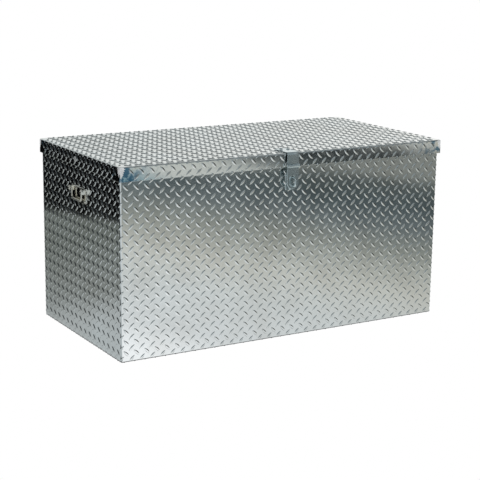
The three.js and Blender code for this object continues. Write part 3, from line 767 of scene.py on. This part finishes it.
def bolt(name, axis, head):
    """A carriage bolt with its nut: domed head, plain shank, threaded end, chamfered hexagon."""
    low, high = box_mm(name)
    axis = Vector(axis)
    centre = (low + high) / 2
    half_length = abs((high - low).dot(axis)) / 2
    face, end = half_length - BOLT_HEAD_HEIGHT, -half_length
    nut_low = end + THREAD_PAST_NUT
    nut_high = nut_low + NUT_HEIGHT
    profile = [(BOLT_SHANK - 0.7, end), (BOLT_SHANK, end + 0.5)]
    ridges = math.floor((nut_high + 1 - end) / THREAD_PITCH)
    for k in range(1, ridges):
        crest = end + 0.5 + k * THREAD_PITCH
        profile += [(BOLT_SHANK - 0.4, crest - THREAD_PITCH / 2), (BOLT_SHANK, crest)]
    profile += [(BOLT_SHANK, face)] + dome(head, face, BOLT_HEAD_HEIGHT)
    nut = [(NUT_RADIUS * 0.9, nut_low), (NUT_RADIUS, nut_low + 0.5)]
    nut += [(NUT_RADIUS, nut_high - 0.5), (NUT_RADIUS * 0.9, nut_high)]
    return united(turned(profile, centre, axis, 20), turned(nut, centre, axis, 6))


def rivet(face, depth):
    """A hinge rivet: domed head towards the rear and a flattened tail, `depth` behind the face."""
    end = -depth - 1.8
    profile = [(3.0, end), (3.6, end + 0.6), (3.6, -depth), (2.4, -depth), (2.4, 0)] + dome(5, 0, 2.4)
    return turned(profile, face, (0, 1, 0), 18)


def build_fasteners():
    for number in (1, 2, 3):
        name = f"hasp_bolt_{number}"
        stand_in(name, bolt(name, (0, 0, 1), BOLT_HEADS["hasp"]))
    for number in (1, 2):
        name = f"staple_bolt_{number}"
        stand_in(name, bolt(name, (0, -1, 0), BOLT_HEADS["staple"]))
    for side, out in SIDES:
        for number in (1, 2, 3, 4):
            name = f"handle_bolt_{side}_{number}"
            stand_in(name, bolt(name, (out, 0, 0), BOLT_HEADS["handle"]))


# ---- hasp and staple

HASP_PIVOT = PIVOTS["hasp_hinge"]
HASP_BARREL = 5.75
HASP_BORE = 2.75
HASP_PLATE = 3.0
HASP_BEND = 8.0  # outside radius where the leaf turns down over the lid's edge
HASP_LEAF_CORNER = 14.0
HASP_KNUCKLE = 12.0
HASP_PLAY = 0.4
HASP_SLOT = (14.0, 38.0)  # centres of the slot's round ends, above the strap's lowest point
HASP_SLOT_HALF = 7.0  # half the slot's width
HASP_BACK = HASP_PIVOT.y + HASP_BARREL
HASP_HALF = box_mm("hasp_strap")[1].x


def flat_bar_ring(centre, up, half_width, half_height, edge=1.1):
    """One cross-section of the leaf's strip, across x."""
    corners = rounded_rectangle((-half_width, half_width), (-half_height, half_height), edge, 3)
    return [centre + Vector((a, 0, 0)) + up * b for a, b in corners]


def hasp_barrel(start, end):
    return turned(eased_bar(HASP_BARREL, start, end), HASP_PIVOT, (1, 0, 0))


def hasp_leaf():
    """Flat on the lid, bent down over its front edge, and split into two knuckles."""
    high = box_mm("hasp_leaf")[1]
    half = HASP_PLATE / 2
    flat_z = high.z - half
    upright_y = HASP_BACK - half
    bend_centre = Vector((0, HASP_BACK - HASP_PLATE + HASP_BEND, high.z - HASP_BEND))
    up = Vector((0, 0, 1))
    rings = [flat_bar_ring(Vector((0, high.y, flat_z)), up, HASP_HALF - HASP_LEAF_CORNER, half - 0.3)]
    for k in range(1, 9):
        angle = math.radians(90 * k / 8)
        y = high.y - HASP_LEAF_CORNER * (1 - math.cos(angle))
        half_width = HASP_HALF - HASP_LEAF_CORNER * (1 - math.sin(angle))
        rings.append(flat_bar_ring(Vector((0, y, flat_z)), up, half_width, half))
    for k in range(9):
        angle = math.radians(90 + 90 * k / 8)
        out = Vector((0, math.cos(angle), math.sin(angle)))
        rings.append(flat_bar_ring(bend_centre + out * (HASP_BEND - half), out, HASP_HALF, half))
    rings.append(flat_bar_ring(Vector((0, upright_y, HASP_PIVOT.z)), Vector((0, -1, 0)), HASP_HALF, half))
    inner = HASP_HALF - HASP_KNUCKLE
    room = inner + HASP_PLAY
    strap_room = block((-room, room), (HASP_BACK - 9, HASP_BACK + 9), (HASP_PIVOT.z - 1, HASP_PIVOT.z + 6.5))
    leaf = boolean(skin(rings), strap_room, "DIFFERENCE")
    leaf = united(leaf, hasp_barrel(-HASP_HALF, -inner), hasp_barrel(inner, HASP_HALF))
    return bored(leaf, HASP_PIVOT, (1, 0, 0), HASP_BORE, HASP_HALF + 1)


def hasp_strap():
    """A plate with a round lower end and a slot for the staple, hung from one wide knuckle."""
    low = box_mm("hasp_strap")[0]
    top, corner = HASP_PIVOT.z - 6.5, 2.0
    lower_round = low.z + HASP_HALF
    outline = arc((HASP_HALF - corner, top - corner), corner, 0, 90, 4)
    outline += arc((corner - HASP_HALF, top - corner), corner, 90, 180, 4)
    outline += arc((0, lower_round), HASP_HALF, 180, 360, 28)
    slot_low, slot_high = (low.z + end for end in HASP_SLOT)
    slot = arc((0, slot_high), HASP_SLOT_HALF, 0, 180, 12) + arc((0, slot_low), HASP_SLOT_HALF, 180, 360, 12)
    depth = (HASP_BACK - HASP_PLATE, HASP_BACK)
    tool = hole_tool(slot, facing_y, *depth, 1.1)
    plate = boolean(slab(outline, facing_y, *depth, 1.2), tool, "DIFFERENCE")
    reach = HASP_HALF - HASP_KNUCKLE - HASP_PLAY
    neck = slab(rounded_rectangle((-reach, reach), (top - 2, HASP_PIVOT.z), 0.5, 2), facing_y, *depth, 0.3)
    strap = united(plate, neck, hasp_barrel(-reach, reach))
    return bored(strap, HASP_PIVOT, (1, 0, 0), HASP_BORE, HASP_HALF + 1)


def hasp_pin():
    """A plain pin with a low domed head upset on each end."""
    tip = box_mm("hasp_pin")[1].x
    head, shank, face = 4.95, 2.5, tip - 2
    right = [(shank, face)] + dome(head, face, 2)
    left = [(radius, -along) for radius, along in reversed(right)]
    return turned(left + right, HASP_PIVOT, (1, 0, 0))


def staple():
    """A base plate with a welded loop of round wire for the padlock."""
    low, high = box_mm("hasp_staple")
    wire, plate, half_width, bend = 3.5, 3.0, high.x, 8
    root, reach = high.y - plate / 2, low.y + wire
    outline = rounded_rectangle((-half_width, half_width), (low.z, high.z), 6)
    base = slab(outline, facing_y, high.y - plate, high.y)
    middle = (low.z + high.z) / 2 + 0.5
    legs = (middle + 13.5, middle - 13.5)
    upper, lower = ([Vector((0, y, z)) for y in (root, reach)] for z in legs)
    loop = rod_along(bent_path(upper + lower[::-1], bend), wire)
    bead = [(wire + 2, -0.5), (wire + 2, 0.2), (wire + 1.2, 1.1), (wire + 0.3, 1.8), (wire - 0.5, 2.2)]
    beads = [turned(bead, (0, high.y - plate, z), (0, -1, 0), 20) for z in legs]
    return united(base, loop, *beads)


def build_hasp():
    stand_in("hasp_leaf", hasp_leaf())
    stand_in("hasp_strap", hasp_strap())
    stand_in("hasp_pin", hasp_pin())
    stand_in("hasp_staple", staple())


# ---- end handles

HANDLE_PIVOT = PIVOTS["handle_left_hinge"]
HANDLE_ROD = 3.5
HANDLE_PLATE = 2.5
HANDLE_EYE = 7.5
HANDLE_BORE = 4.1
HANDLE_LEG = 37.0  # from the middle to the centre of each of the bail's legs
HANDLE_TRUNNION = 49.5
HANDLE_END_PLAY = 0.6
HANDLE_CORNER = 7.0
BAIL_BEND = 12.0
HANDLE_EYE_SPAN = (42, 53)  # inner and outer face of each eye, from the middle


def handle_plate():
    """The left handle's plate, with an eye near each end for the bail's trunnions."""
    low, high = box_mm("handle_plate_left")
    face = high.x - HANDLE_PLATE
    outline = rounded_rectangle((low.y, high.y), (low.z, high.z), HANDLE_CORNER)
    parts = [slab(outline, facing_x, face, high.x, 1.0)]
    eye = [(face + 1, HANDLE_PIVOT.z - HANDLE_EYE)]
    eye += arc((HANDLE_PIVOT.x, HANDLE_PIVOT.z), HANDLE_EYE, 270, 90, 16)
    eye += [(face + 1, HANDLE_PIVOT.z + HANDLE_EYE)]
    inner, outer = HANDLE_EYE_SPAN
    for start, end in ((-outer, -inner), (inner, outer)):
        parts.append(slab(eye, facing_y, start, end, 1.0))
    reach = HANDLE_TRUNNION + HANDLE_END_PLAY
    return bored(united(*parts), HANDLE_PIVOT, (0, 1, 0), HANDLE_BORE, reach, 20)


def handle_bail():
    """The left handle's swinging bail: a bent rod with a trunnion turned out at each end."""
    drop = box_mm("handle_bail_left")[0].z + HANDLE_ROD
    x, top = HANDLE_PIVOT.x, HANDLE_PIVOT.z
    near, far = ([Vector((x, y, z)) for z in (top, drop)] for y in (-HANDLE_LEG, HANDLE_LEG))
    bail = rod_along(bent_path(near + far[::-1], BAIL_BEND), HANDLE_ROD)
    run = HANDLE_TRUNNION - HANDLE_LEG
    angles = [math.radians(a) for a in range(10, 90, 16)]
    elbow = [(HANDLE_ROD * math.sin(a), -HANDLE_ROD * math.cos(a)) for a in angles]
    profile = elbow + [(HANDLE_ROD, 0), (HANDLE_ROD, run - 0.6), (HANDLE_ROD - 0.6, run)]
    trunnions = [turned(profile, leg[0], (0, out, 0), 16) for leg, out in ((near, -1), (far, 1))]
    return united(bail, *trunnions)


def build_handles():
    stand_in("handle_plate_left", handle_plate())
    stand_in("handle_plate_right", mirrored(handle_plate()))
    stand_in("handle_bail_left", handle_bail())
    stand_in("handle_bail_right", mirrored(handle_bail()))
    for side, _ in SIDES:
        stand_in(f"handle_backing_{side}", refined(f"handle_backing_{side}", 0.4))


# ---- continuous hinge

HINGE_PIVOT = PIVOTS["lid_hinge"]
HINGE_BARREL = 5.7
HINGE_BORE = 3.5
HINGE_LEAF = 2.3
HINGE_KNUCKLES = 23
HINGE_KNUCKLE = 50.8
HINGE_PLAY = 0.4
HINGE_CLEARANCE = 6.5  # from the pin's axis to the bottom of a slot
RIVET_SPACING = 152.4
RIVET_FROM_EDGE = 16.0
HINGE_HALF = HINGE_KNUCKLES * HINGE_KNUCKLE / 2


def hinge_leaf(parity, y, z, rivets):
    """One leaf: a plate slotted for the other leaf's knuckles, its own knuckles, and its rivets."""
    outline = rounded_rectangle((-HINGE_HALF, HINGE_HALF), z, 1, 2)
    slots, knuckles = [], []
    for k in range(HINGE_KNUCKLES):
        start = k * HINGE_KNUCKLE - HINGE_HALF
        end = start + HINGE_KNUCKLE
        if k % 2 == parity:
            profile = eased_bar(HINGE_BARREL, start + HINGE_PLAY / 2, end - HINGE_PLAY / 2, 0.4)
            knuckles.append(turned(profile, HINGE_PIVOT, (1, 0, 0), 20))
        else:
            across = (start - HINGE_PLAY / 2, end + HINGE_PLAY / 2)
            up = (HINGE_PIVOT.z - HINGE_CLEARANCE, HINGE_PIVOT.z + HINGE_CLEARANCE)
            slots.append(block(across, (y[0] - 1, y[1] + 1), up))
    leaf = slab(outline, facing_y, *y, 0.3)
    leaf = boolean(leaf, gathered(slots), "DIFFERENCE")
    leaf = united(leaf, gathered(knuckles))
    leaf = bored(leaf, HINGE_PIVOT, (1, 0, 0), HINGE_BORE, HINGE_HALF + 1)
    return united(leaf, gathered(rivets))


def rivet_row(face_y, z, depth):
    return [rivet((RIVET_SPACING * (k + 0.5), face_y, z), depth) for k in range(-4, 4)]


def build_hinge():
    lowest = box_mm("hinge_body_leaf")[0].z
    highest = box_mm("hinge_lid_leaf")[1].z
    inner = HINGE_PIVOT.y - HINGE_BARREL
    outer = HINGE_PIVOT.y + HINGE_BARREL
    clamped = HINGE_LEAF + SHEET + 0.6
    body_rivets = rivet_row(inner + HINGE_LEAF, lowest + RIVET_FROM_EDGE, clamped)
    lid_rivets = rivet_row(LID_HIGH.y + 0.3, highest - RIVET_FROM_EDGE, clamped)
    body_leaf = hinge_leaf(0, (inner, inner + HINGE_LEAF), (lowest, HINGE_PIVOT.z), body_rivets)
    lid_leaf = hinge_leaf(1, (outer - HINGE_LEAF, outer), (HINGE_PIVOT.z, highest), lid_rivets)
    stand_in("hinge_body_leaf", body_leaf)
    stand_in("hinge_lid_leaf", lid_leaf)
    end = box_mm("hinge_pin")[1].x
    stand_in("hinge_pin", turned(eased_bar(3.1, -end, end), HINGE_PIVOT, (1, 0, 0), 16))


# ---- gas struts

STRUT_NECK = 5.0
SOCKET_RADIUS = 9.0
SOCKET_HALF = 6.0
TUBE_RADIUS = 9.5
TUBE_START = 22.0
TUBE_END = 245.0
ROD_RADIUS = 4.0
ROD_START = 40.0
UPPER_STUD_DROP = 24.3  # from the lid's top to the upper stud's axis


def strut_socket(pivot, towards):
    """An end fitting: a disc across the pivot, with a tapered neck along the strut."""
    disc = turned(eased_bar(SOCKET_RADIUS, -SOCKET_HALF, SOCKET_HALF, 1.2), pivot, (1, 0, 0), 28)
    taper = [(STRUT_NECK + 1.5, 5), (STRUT_NECK + 0.6, 11), (STRUT_NECK, 13)]
    tip = [(STRUT_NECK, TUBE_START - 1), (STRUT_NECK - 0.7, TUBE_START - 0.3)]
    neck = turned(taper + tip, pivot, towards)
    return united(disc, neck)


def strut_tube(pivot, towards):
    """The cylinder, rolled in at both ends, with a ring pressed in near the gland."""
    groove = TUBE_END - 14
    sunk = [(3, TUBE_START), (0.8, TUBE_START + 1.2), (0, TUBE_START + 4)]
    sunk += [(0, groove - 2), (0.9, groove), (0, groove + 2)]
    sunk += [(0, TUBE_END - 3), (0.8, TUBE_END - 1), (2.5, TUBE_END)]
    outside = [(TUBE_RADIUS - depth, along) for depth, along in sunk]
    bore, gland = ROD_RADIUS + 0.3, TUBE_END - 10
    inside = [(bore, TUBE_END), (bore, gland), (TUBE_RADIUS - 2, gland), (TUBE_RADIUS - 2, TUBE_START + 6)]
    return turned(outside + inside, pivot, towards, 32)


def strut_rod(pivot, towards, end):
    profile = [(6.6, ROD_START), (7, ROD_START + 0.4), (7, ROD_START + 9.6), (6.6, ROD_START + 10)]
    return turned(profile + [(ROD_RADIUS, ROD_START + 10), (ROD_RADIUS, end)], pivot, towards)


def stud_rivet(name, out):
    """The broad-headed rivet through the lid's side skirt."""
    low, high = box_mm(name)
    middle = (low + high) / 2
    inner, tip = sorted((low.x * out, high.x * out))
    face = tip - 3.2
    profile = [(2.5, inner), (2.5, face)] + dome(9, face, 3.2, 8)
    return turned(profile, (0, middle.y, middle.z), (out, 0, 0), 32)


def build_struts():
    for side, out in SIDES:
        lower = PIVOTS[f"strut_{side}_pivot"]
        towards = AXES[f"strut_{side}_slide"]
        upper_low, upper_high = box_mm(f"strut_upper_socket_{side}")
        upper = (upper_low + upper_high) / 2
        upper.z = LID_HIGH.z - UPPER_STUD_DROP
        upper.y = upper_low.y + SOCKET_RADIUS
        length = (upper - lower).length
        stand_in(f"strut_lower_socket_{side}", strut_socket(lower, towards))
        stand_in(f"strut_upper_socket_{side}", strut_socket(upper, -towards))
        stand_in(f"strut_cylinder_{side}", strut_tube(lower, towards))
        stand_in(f"strut_rod_{side}", strut_rod(lower, towards, length - TUBE_START))
        for name in (f"strut_body_bracket_{side}", f"strut_lid_bracket_{side}"):
            stand_in(name, refined(name, 0.3))
        name = f"lid_stud_rivet_{side}"
        stand_in(name, stud_rivet(name, out))


# ---- seal, floor plate, stiffeners, welds

SEAL_WIDTH = 10.0
SEAL_CORNER = 12.0
WELD_REACH = 13.0  # along the skirt, each way from the corner


def rim_seal():
    """A moulded strip round the mouth: flat foot, domed crown and one groove down each side."""
    low, high = box_mm("rim_seal")
    height = high.z - low.z
    foot = [(0.6, 0), (0, 0.8), (0.3, 2), (1.2, 2.6), (0.9, 3.4)]
    shoulder = foot[-1][1]
    angles = [math.radians(a) for a in range(15, 180, 15)]
    half, rise = SEAL_WIDTH / 2, height - shoulder
    crown = [(half - (half - 0.9) * math.cos(a), shoulder + rise * math.sin(a)) for a in angles]
    section = foot + crown + [(SEAL_WIDTH - n, z) for n, z in reversed(foot)]
    stations = list(round_stations(high, 0, SEAL_CORNER))
    return skin([[plan_point(s, n, low.z + z) for s in stations] for n, z in section], looped=True)


def corner_weld(sx, sy):
    """A dressed weld over one of the lid's vertical corners: proud at the corner, feathered at its edges."""
    quarter = LID_CORNER * math.pi / 2
    low, high = LID_LOW.z + 0.8, LID_HIGH.z - 0.8
    layers = 24
    rings = []
    for layer in range(layers + 1):
        z = low + (high - low) * layer / layers
        reach = WELD_REACH * (1 + 0.16 * math.sin(layer * 1.9) + 0.1 * math.sin(layer * 4.3 + sx))
        sunk = max(z - (LID_HIGH.z - FOLD), 0)
        drawn_in = FOLD - (FOLD**2 - sunk**2) ** 0.5
        outer, inner = [], []
        for k in range(17):
            share = k / 8 - 1
            along = quarter / 2 + share * (reach + quarter / 2)
            ripple = 0.08 * math.sin(layer * 2.7 + k * 1.3) * (1 - abs(share))
            proud = 0.55 * (1 - share * share) + ripple - 0.12
            for side, height in ((outer, proud), (inner, -0.6)):
                on, out = rolled(along, LID_CORNER, height - drawn_in)
                y = LID_HALF_DEPTH - LID_CORNER + on
                side.append(Vector((sx * (LID_HIGH.x + out), LID_MIDDLE + sy * y, z)))
        rings.append(outer + inner[::-1])
    return skin(rings)


def seam_weld(sx):
    """A rippled bead down the inside corner where the rear panel meets an end."""
    ripple, height = 4.0, RIM - 2 * FLANGE
    count = round(height / ripple)
    profile = []
    for k in range(count):
        start = k * ripple
        profile += [(1.9, start), (2.6, start + ripple * 0.35), (2.4, start + ripple * 0.7)]
    origin = (sx * (HALF_WIDTH - SHEET - 0.6), HALF_DEPTH - SHEET - 0.6, FLANGE)
    return turned(profile, origin, (0, 0, 1), 10)


def build_trim():
    stand_in("rim_seal", rim_seal())
    stand_in("bottom_panel", refined("bottom_panel", 0.4))
    for place in ("left", "centre", "right"):
        stand_in(f"lid_stiffener_{place}", refined(f"lid_stiffener_{place}", 0.6))
    for end, sy in (("front", -1), ("rear", 1)):
        for side, sx in SIDES:
            weld = corner_weld(sx, sy)
            piece(f"lid_corner_weld_{end}_{side}", weld, "lid", FINISHES["dressed_weld"], "tread_plate")
    for side, sx in SIDES:
        piece(f"rear_seam_weld_{side}", seam_weld(sx), "box", FINISHES["dressed_weld"], "tread_plate")


# ---- studio


def across_floor(tree, x, y, direction):
    """How far a floor point lies along a direction, in metres from the origin."""
    return math_node(tree, "ADD", times(tree, x, direction[0]), times(tree, y, direction[1]))


def past_line(tree, x, y, a, b):
    """Signed distance of a floor point to the left of the line from a to b, in metres."""
    direction = (Vector(b) - Vector(a)).normalized()
    normal = Vector((-direction.y, direction.x))
    return math_node(tree, "SUBTRACT", across_floor(tree, x, y, normal), normal.dot(Vector(a)))


def ramp(tree, value, low, high):
    """0 below low, 1 above high, smooth between."""
    inputs = {"Value": value, "From Min": low, "From Max": high}
    return node(tree, "MapRange", inputs, interpolation_type="SMOOTHSTEP").outputs["Result"]


def toned(tree, value, stops):
    """A colour that changes along a value in metres, from (place, colour) stops."""
    low, high = stops[0][0], stops[-1][0]
    made = node(tree, "ValToRGB", {"Fac": spread(tree, value, 0, 1, low, high)})
    elements = made.color_ramp.elements
    while len(elements) < len(stops):
        elements.new(0.5)
    for element, (place, tone) in zip(elements, stops):
        element.position = (place - low) / (high - low)
        element.color = colour(tone)
    return made.outputs["Color"]


def floor_ahead(tree, x, y):
    """The floor in front of the box: white at its foot, and slate towards the far right."""
    away = across_floor(tree, x, y, (0.89, -0.45))
    near = toned(tree, away, [
        (-0.3, "f0f2f4"), (0.0, "d2d6d8"), (0.4, "c6caca"), (0.85, "bdbeb8"), (1.1, "a8aaa4"),
        (1.45, "838782"), (1.85, "60686a"), (2.3, "434d50"), (2.85, "4b5252"), (3.05, "7c7f7b"),
    ])
    far = toned(tree, x, [
        (1.0, "6a8b97"), (1.25, "c3c7c4"), (1.75, "b8bcb8"), (2.1, "3a4244"), (2.6, "1c2224"),
        (2.95, "2c3335"), (3.35, "b5b7b3"),
    ])
    return mixed(tree, ramp(tree, y, -3.15, -3.25), near, far)


def floor_at_left(tree, x, y):
    """The floor to the left and behind: grey, then black beyond the edge of the studio's flag."""
    base = toned(tree, y, [(-0.6, "b6bdc0"), (0.2, "a4a9aa"), (0.5, "7e8280"), (1.3, "666b67")])
    flag = ramp(tree, past_line(tree, x, y, (-1.28, 1.97), (-1.47, 1.52)), 0.04, -0.04)
    return mixed(tree, flag, base, colour("050506"))


def floor_behind(tree, x, y):
    """The floor behind and to the right: pale near the box, slate, then pale again at the wall."""
    away = across_floor(tree, x, y, (0.55, 0.83))
    return toned(tree, away, [
        (0.3, "dde0e1"), (0.8, "c2c6c5"), (1.4, "9da19e"), (2.1, "676d6d"), (2.8, "555d60"), (3.4, "a9adab"),
    ])


def floor_reflection(tree):
    """What the plate mirrors of the studio's floor, with a painted shadow under the box."""
    place = node(tree, "NewGeometry").outputs["Position"]
    x, y, _ = node(tree, "SeparateXYZ", {"Vector": place}).outputs
    half_width, half_depth = HALF_WIDTH * MM, HALF_DEPTH * MM
    blend, edge = 0.02, 0.012
    behind = ramp(tree, y, -half_depth - blend, -half_depth + blend)
    at_left = ramp(tree, x, -half_width + blend, -half_width - blend)
    seen = mixed(tree, behind, floor_ahead(tree, x, y), floor_behind(tree, x, y))
    seen = mixed(tree, at_left, seen, floor_at_left(tree, x, y))
    # Painted shadow: the mirrored floor goes dark grey under the box's footprint, because the floor's glow casts
    # no shadow of its own.
    inside_x = ramp(tree, away_from(tree, x), half_width + edge, half_width)
    inside_y = ramp(tree, away_from(tree, y), half_depth + edge, half_depth)
    painted_shadow_under_box = times(tree, inside_x, inside_y)
    return mixed(tree, painted_shadow_under_box, seen, colour("3c3f41"))


def floor():
    reach = 30
    corners = ((-reach, -reach), (reach, -reach), (reach, reach), (-reach, reach))
    mesh = bpy.data.meshes.new("floor")
    mesh.from_pydata([(x, y, -MM) for x, y in corners], [], [range(4)])
    material, tree = new_tree("pale_floor")
    rays = node(tree, "LightPath")
    white = node(tree, "Emission", {"Color": (1, 1, 1, 1), "Strength": 1.0}).outputs[0]
    shown = node(tree, "Emission", {"Color": floor_reflection(tree), "Strength": 1.2}).outputs[0]
    surface = node(tree, "MixShader", {0: rays.outputs["Is Glossy Ray"], 1: white, 2: shown}).outputs[0]
    node(tree, "OutputMaterial", {"Surface": surface})
    mesh.materials.append(material)
    linked("floor", mesh)


def sky_reflection(tree):
    """The walls and ceiling that the plate mirrors: pale low down, darker overhead and to each side."""
    direction = node(tree, "TexCoord").outputs["Generated"]
    x, y, z = node(tree, "SeparateXYZ", {"Vector": direction}).outputs
    walls = mixed(tree, ramp(tree, x, 0.35, 0.68), colour("e3e7e6"), colour("fdfefc"))
    seen = mixed(tree, ramp(tree, z, 0.25, 0.75), walls, colour("888f91"))
    to_left = times(tree, ramp(tree, x, -0.15, -0.4), ramp(tree, y, -0.45, -0.1))
    seen = mixed(tree, to_left, seen, colour("363b3e"))
    to_camera = times(tree, ramp(tree, y, -0.45, -0.75), ramp(tree, x, -0.5, -0.3))
    seen = mixed(tree, to_camera, seen, colour("8a9397"))
    to_right = times(tree, ramp(tree, x, 0.6, 0.78), ramp(tree, y, 0.5, 0.2))
    return mixed(tree, to_right, seen, colour("2c2c28"))


def surroundings():
    """A white studio to the camera, and toned walls in reflections."""
    world = bpy.data.worlds.new("studio")
    world.use_nodes = True
    tree = world.node_tree
    tree.nodes.clear()
    rays = node(tree, "LightPath")
    seen = mixed(tree, rays.outputs["Is Glossy Ray"], (1, 1, 1, 1), sky_reflection(tree))
    background = node(tree, "Background", {"Color": seen, "Strength": 1.0}).outputs[0]
    node(tree, "OutputWorld", {"Surface": background})
    bpy.context.scene.world = world


def camera():
    """The photograph's viewpoint: ahead of the front-left corner and a little above."""
    yaw, pitch, roll = (math.radians(a) for a in (30.66, 13.25, 0.73))
    aim = Matrix.Rotation(-yaw, 4, "Z") @ Matrix.Rotation(math.pi / 2 - pitch, 4, "X")
    data = bpy.data.cameras.new("camera")
    data.sensor_width = 36
    data.lens = 99.26
    made = linked("camera", data)
    place = Matrix.Translation((-2.3015, -3.8764, 1.3272))
    made.matrix_world = place @ aim @ Matrix.Rotation(roll, 4, "Z")
    bpy.context.scene.camera = made
    bpy.context.scene.view_settings.view_transform = "Standard"


build_sheets()
build_fasteners()
build_hasp()
build_handles()
build_hinge()
build_struts()
build_trim()
floor()
surroundings()
camera()
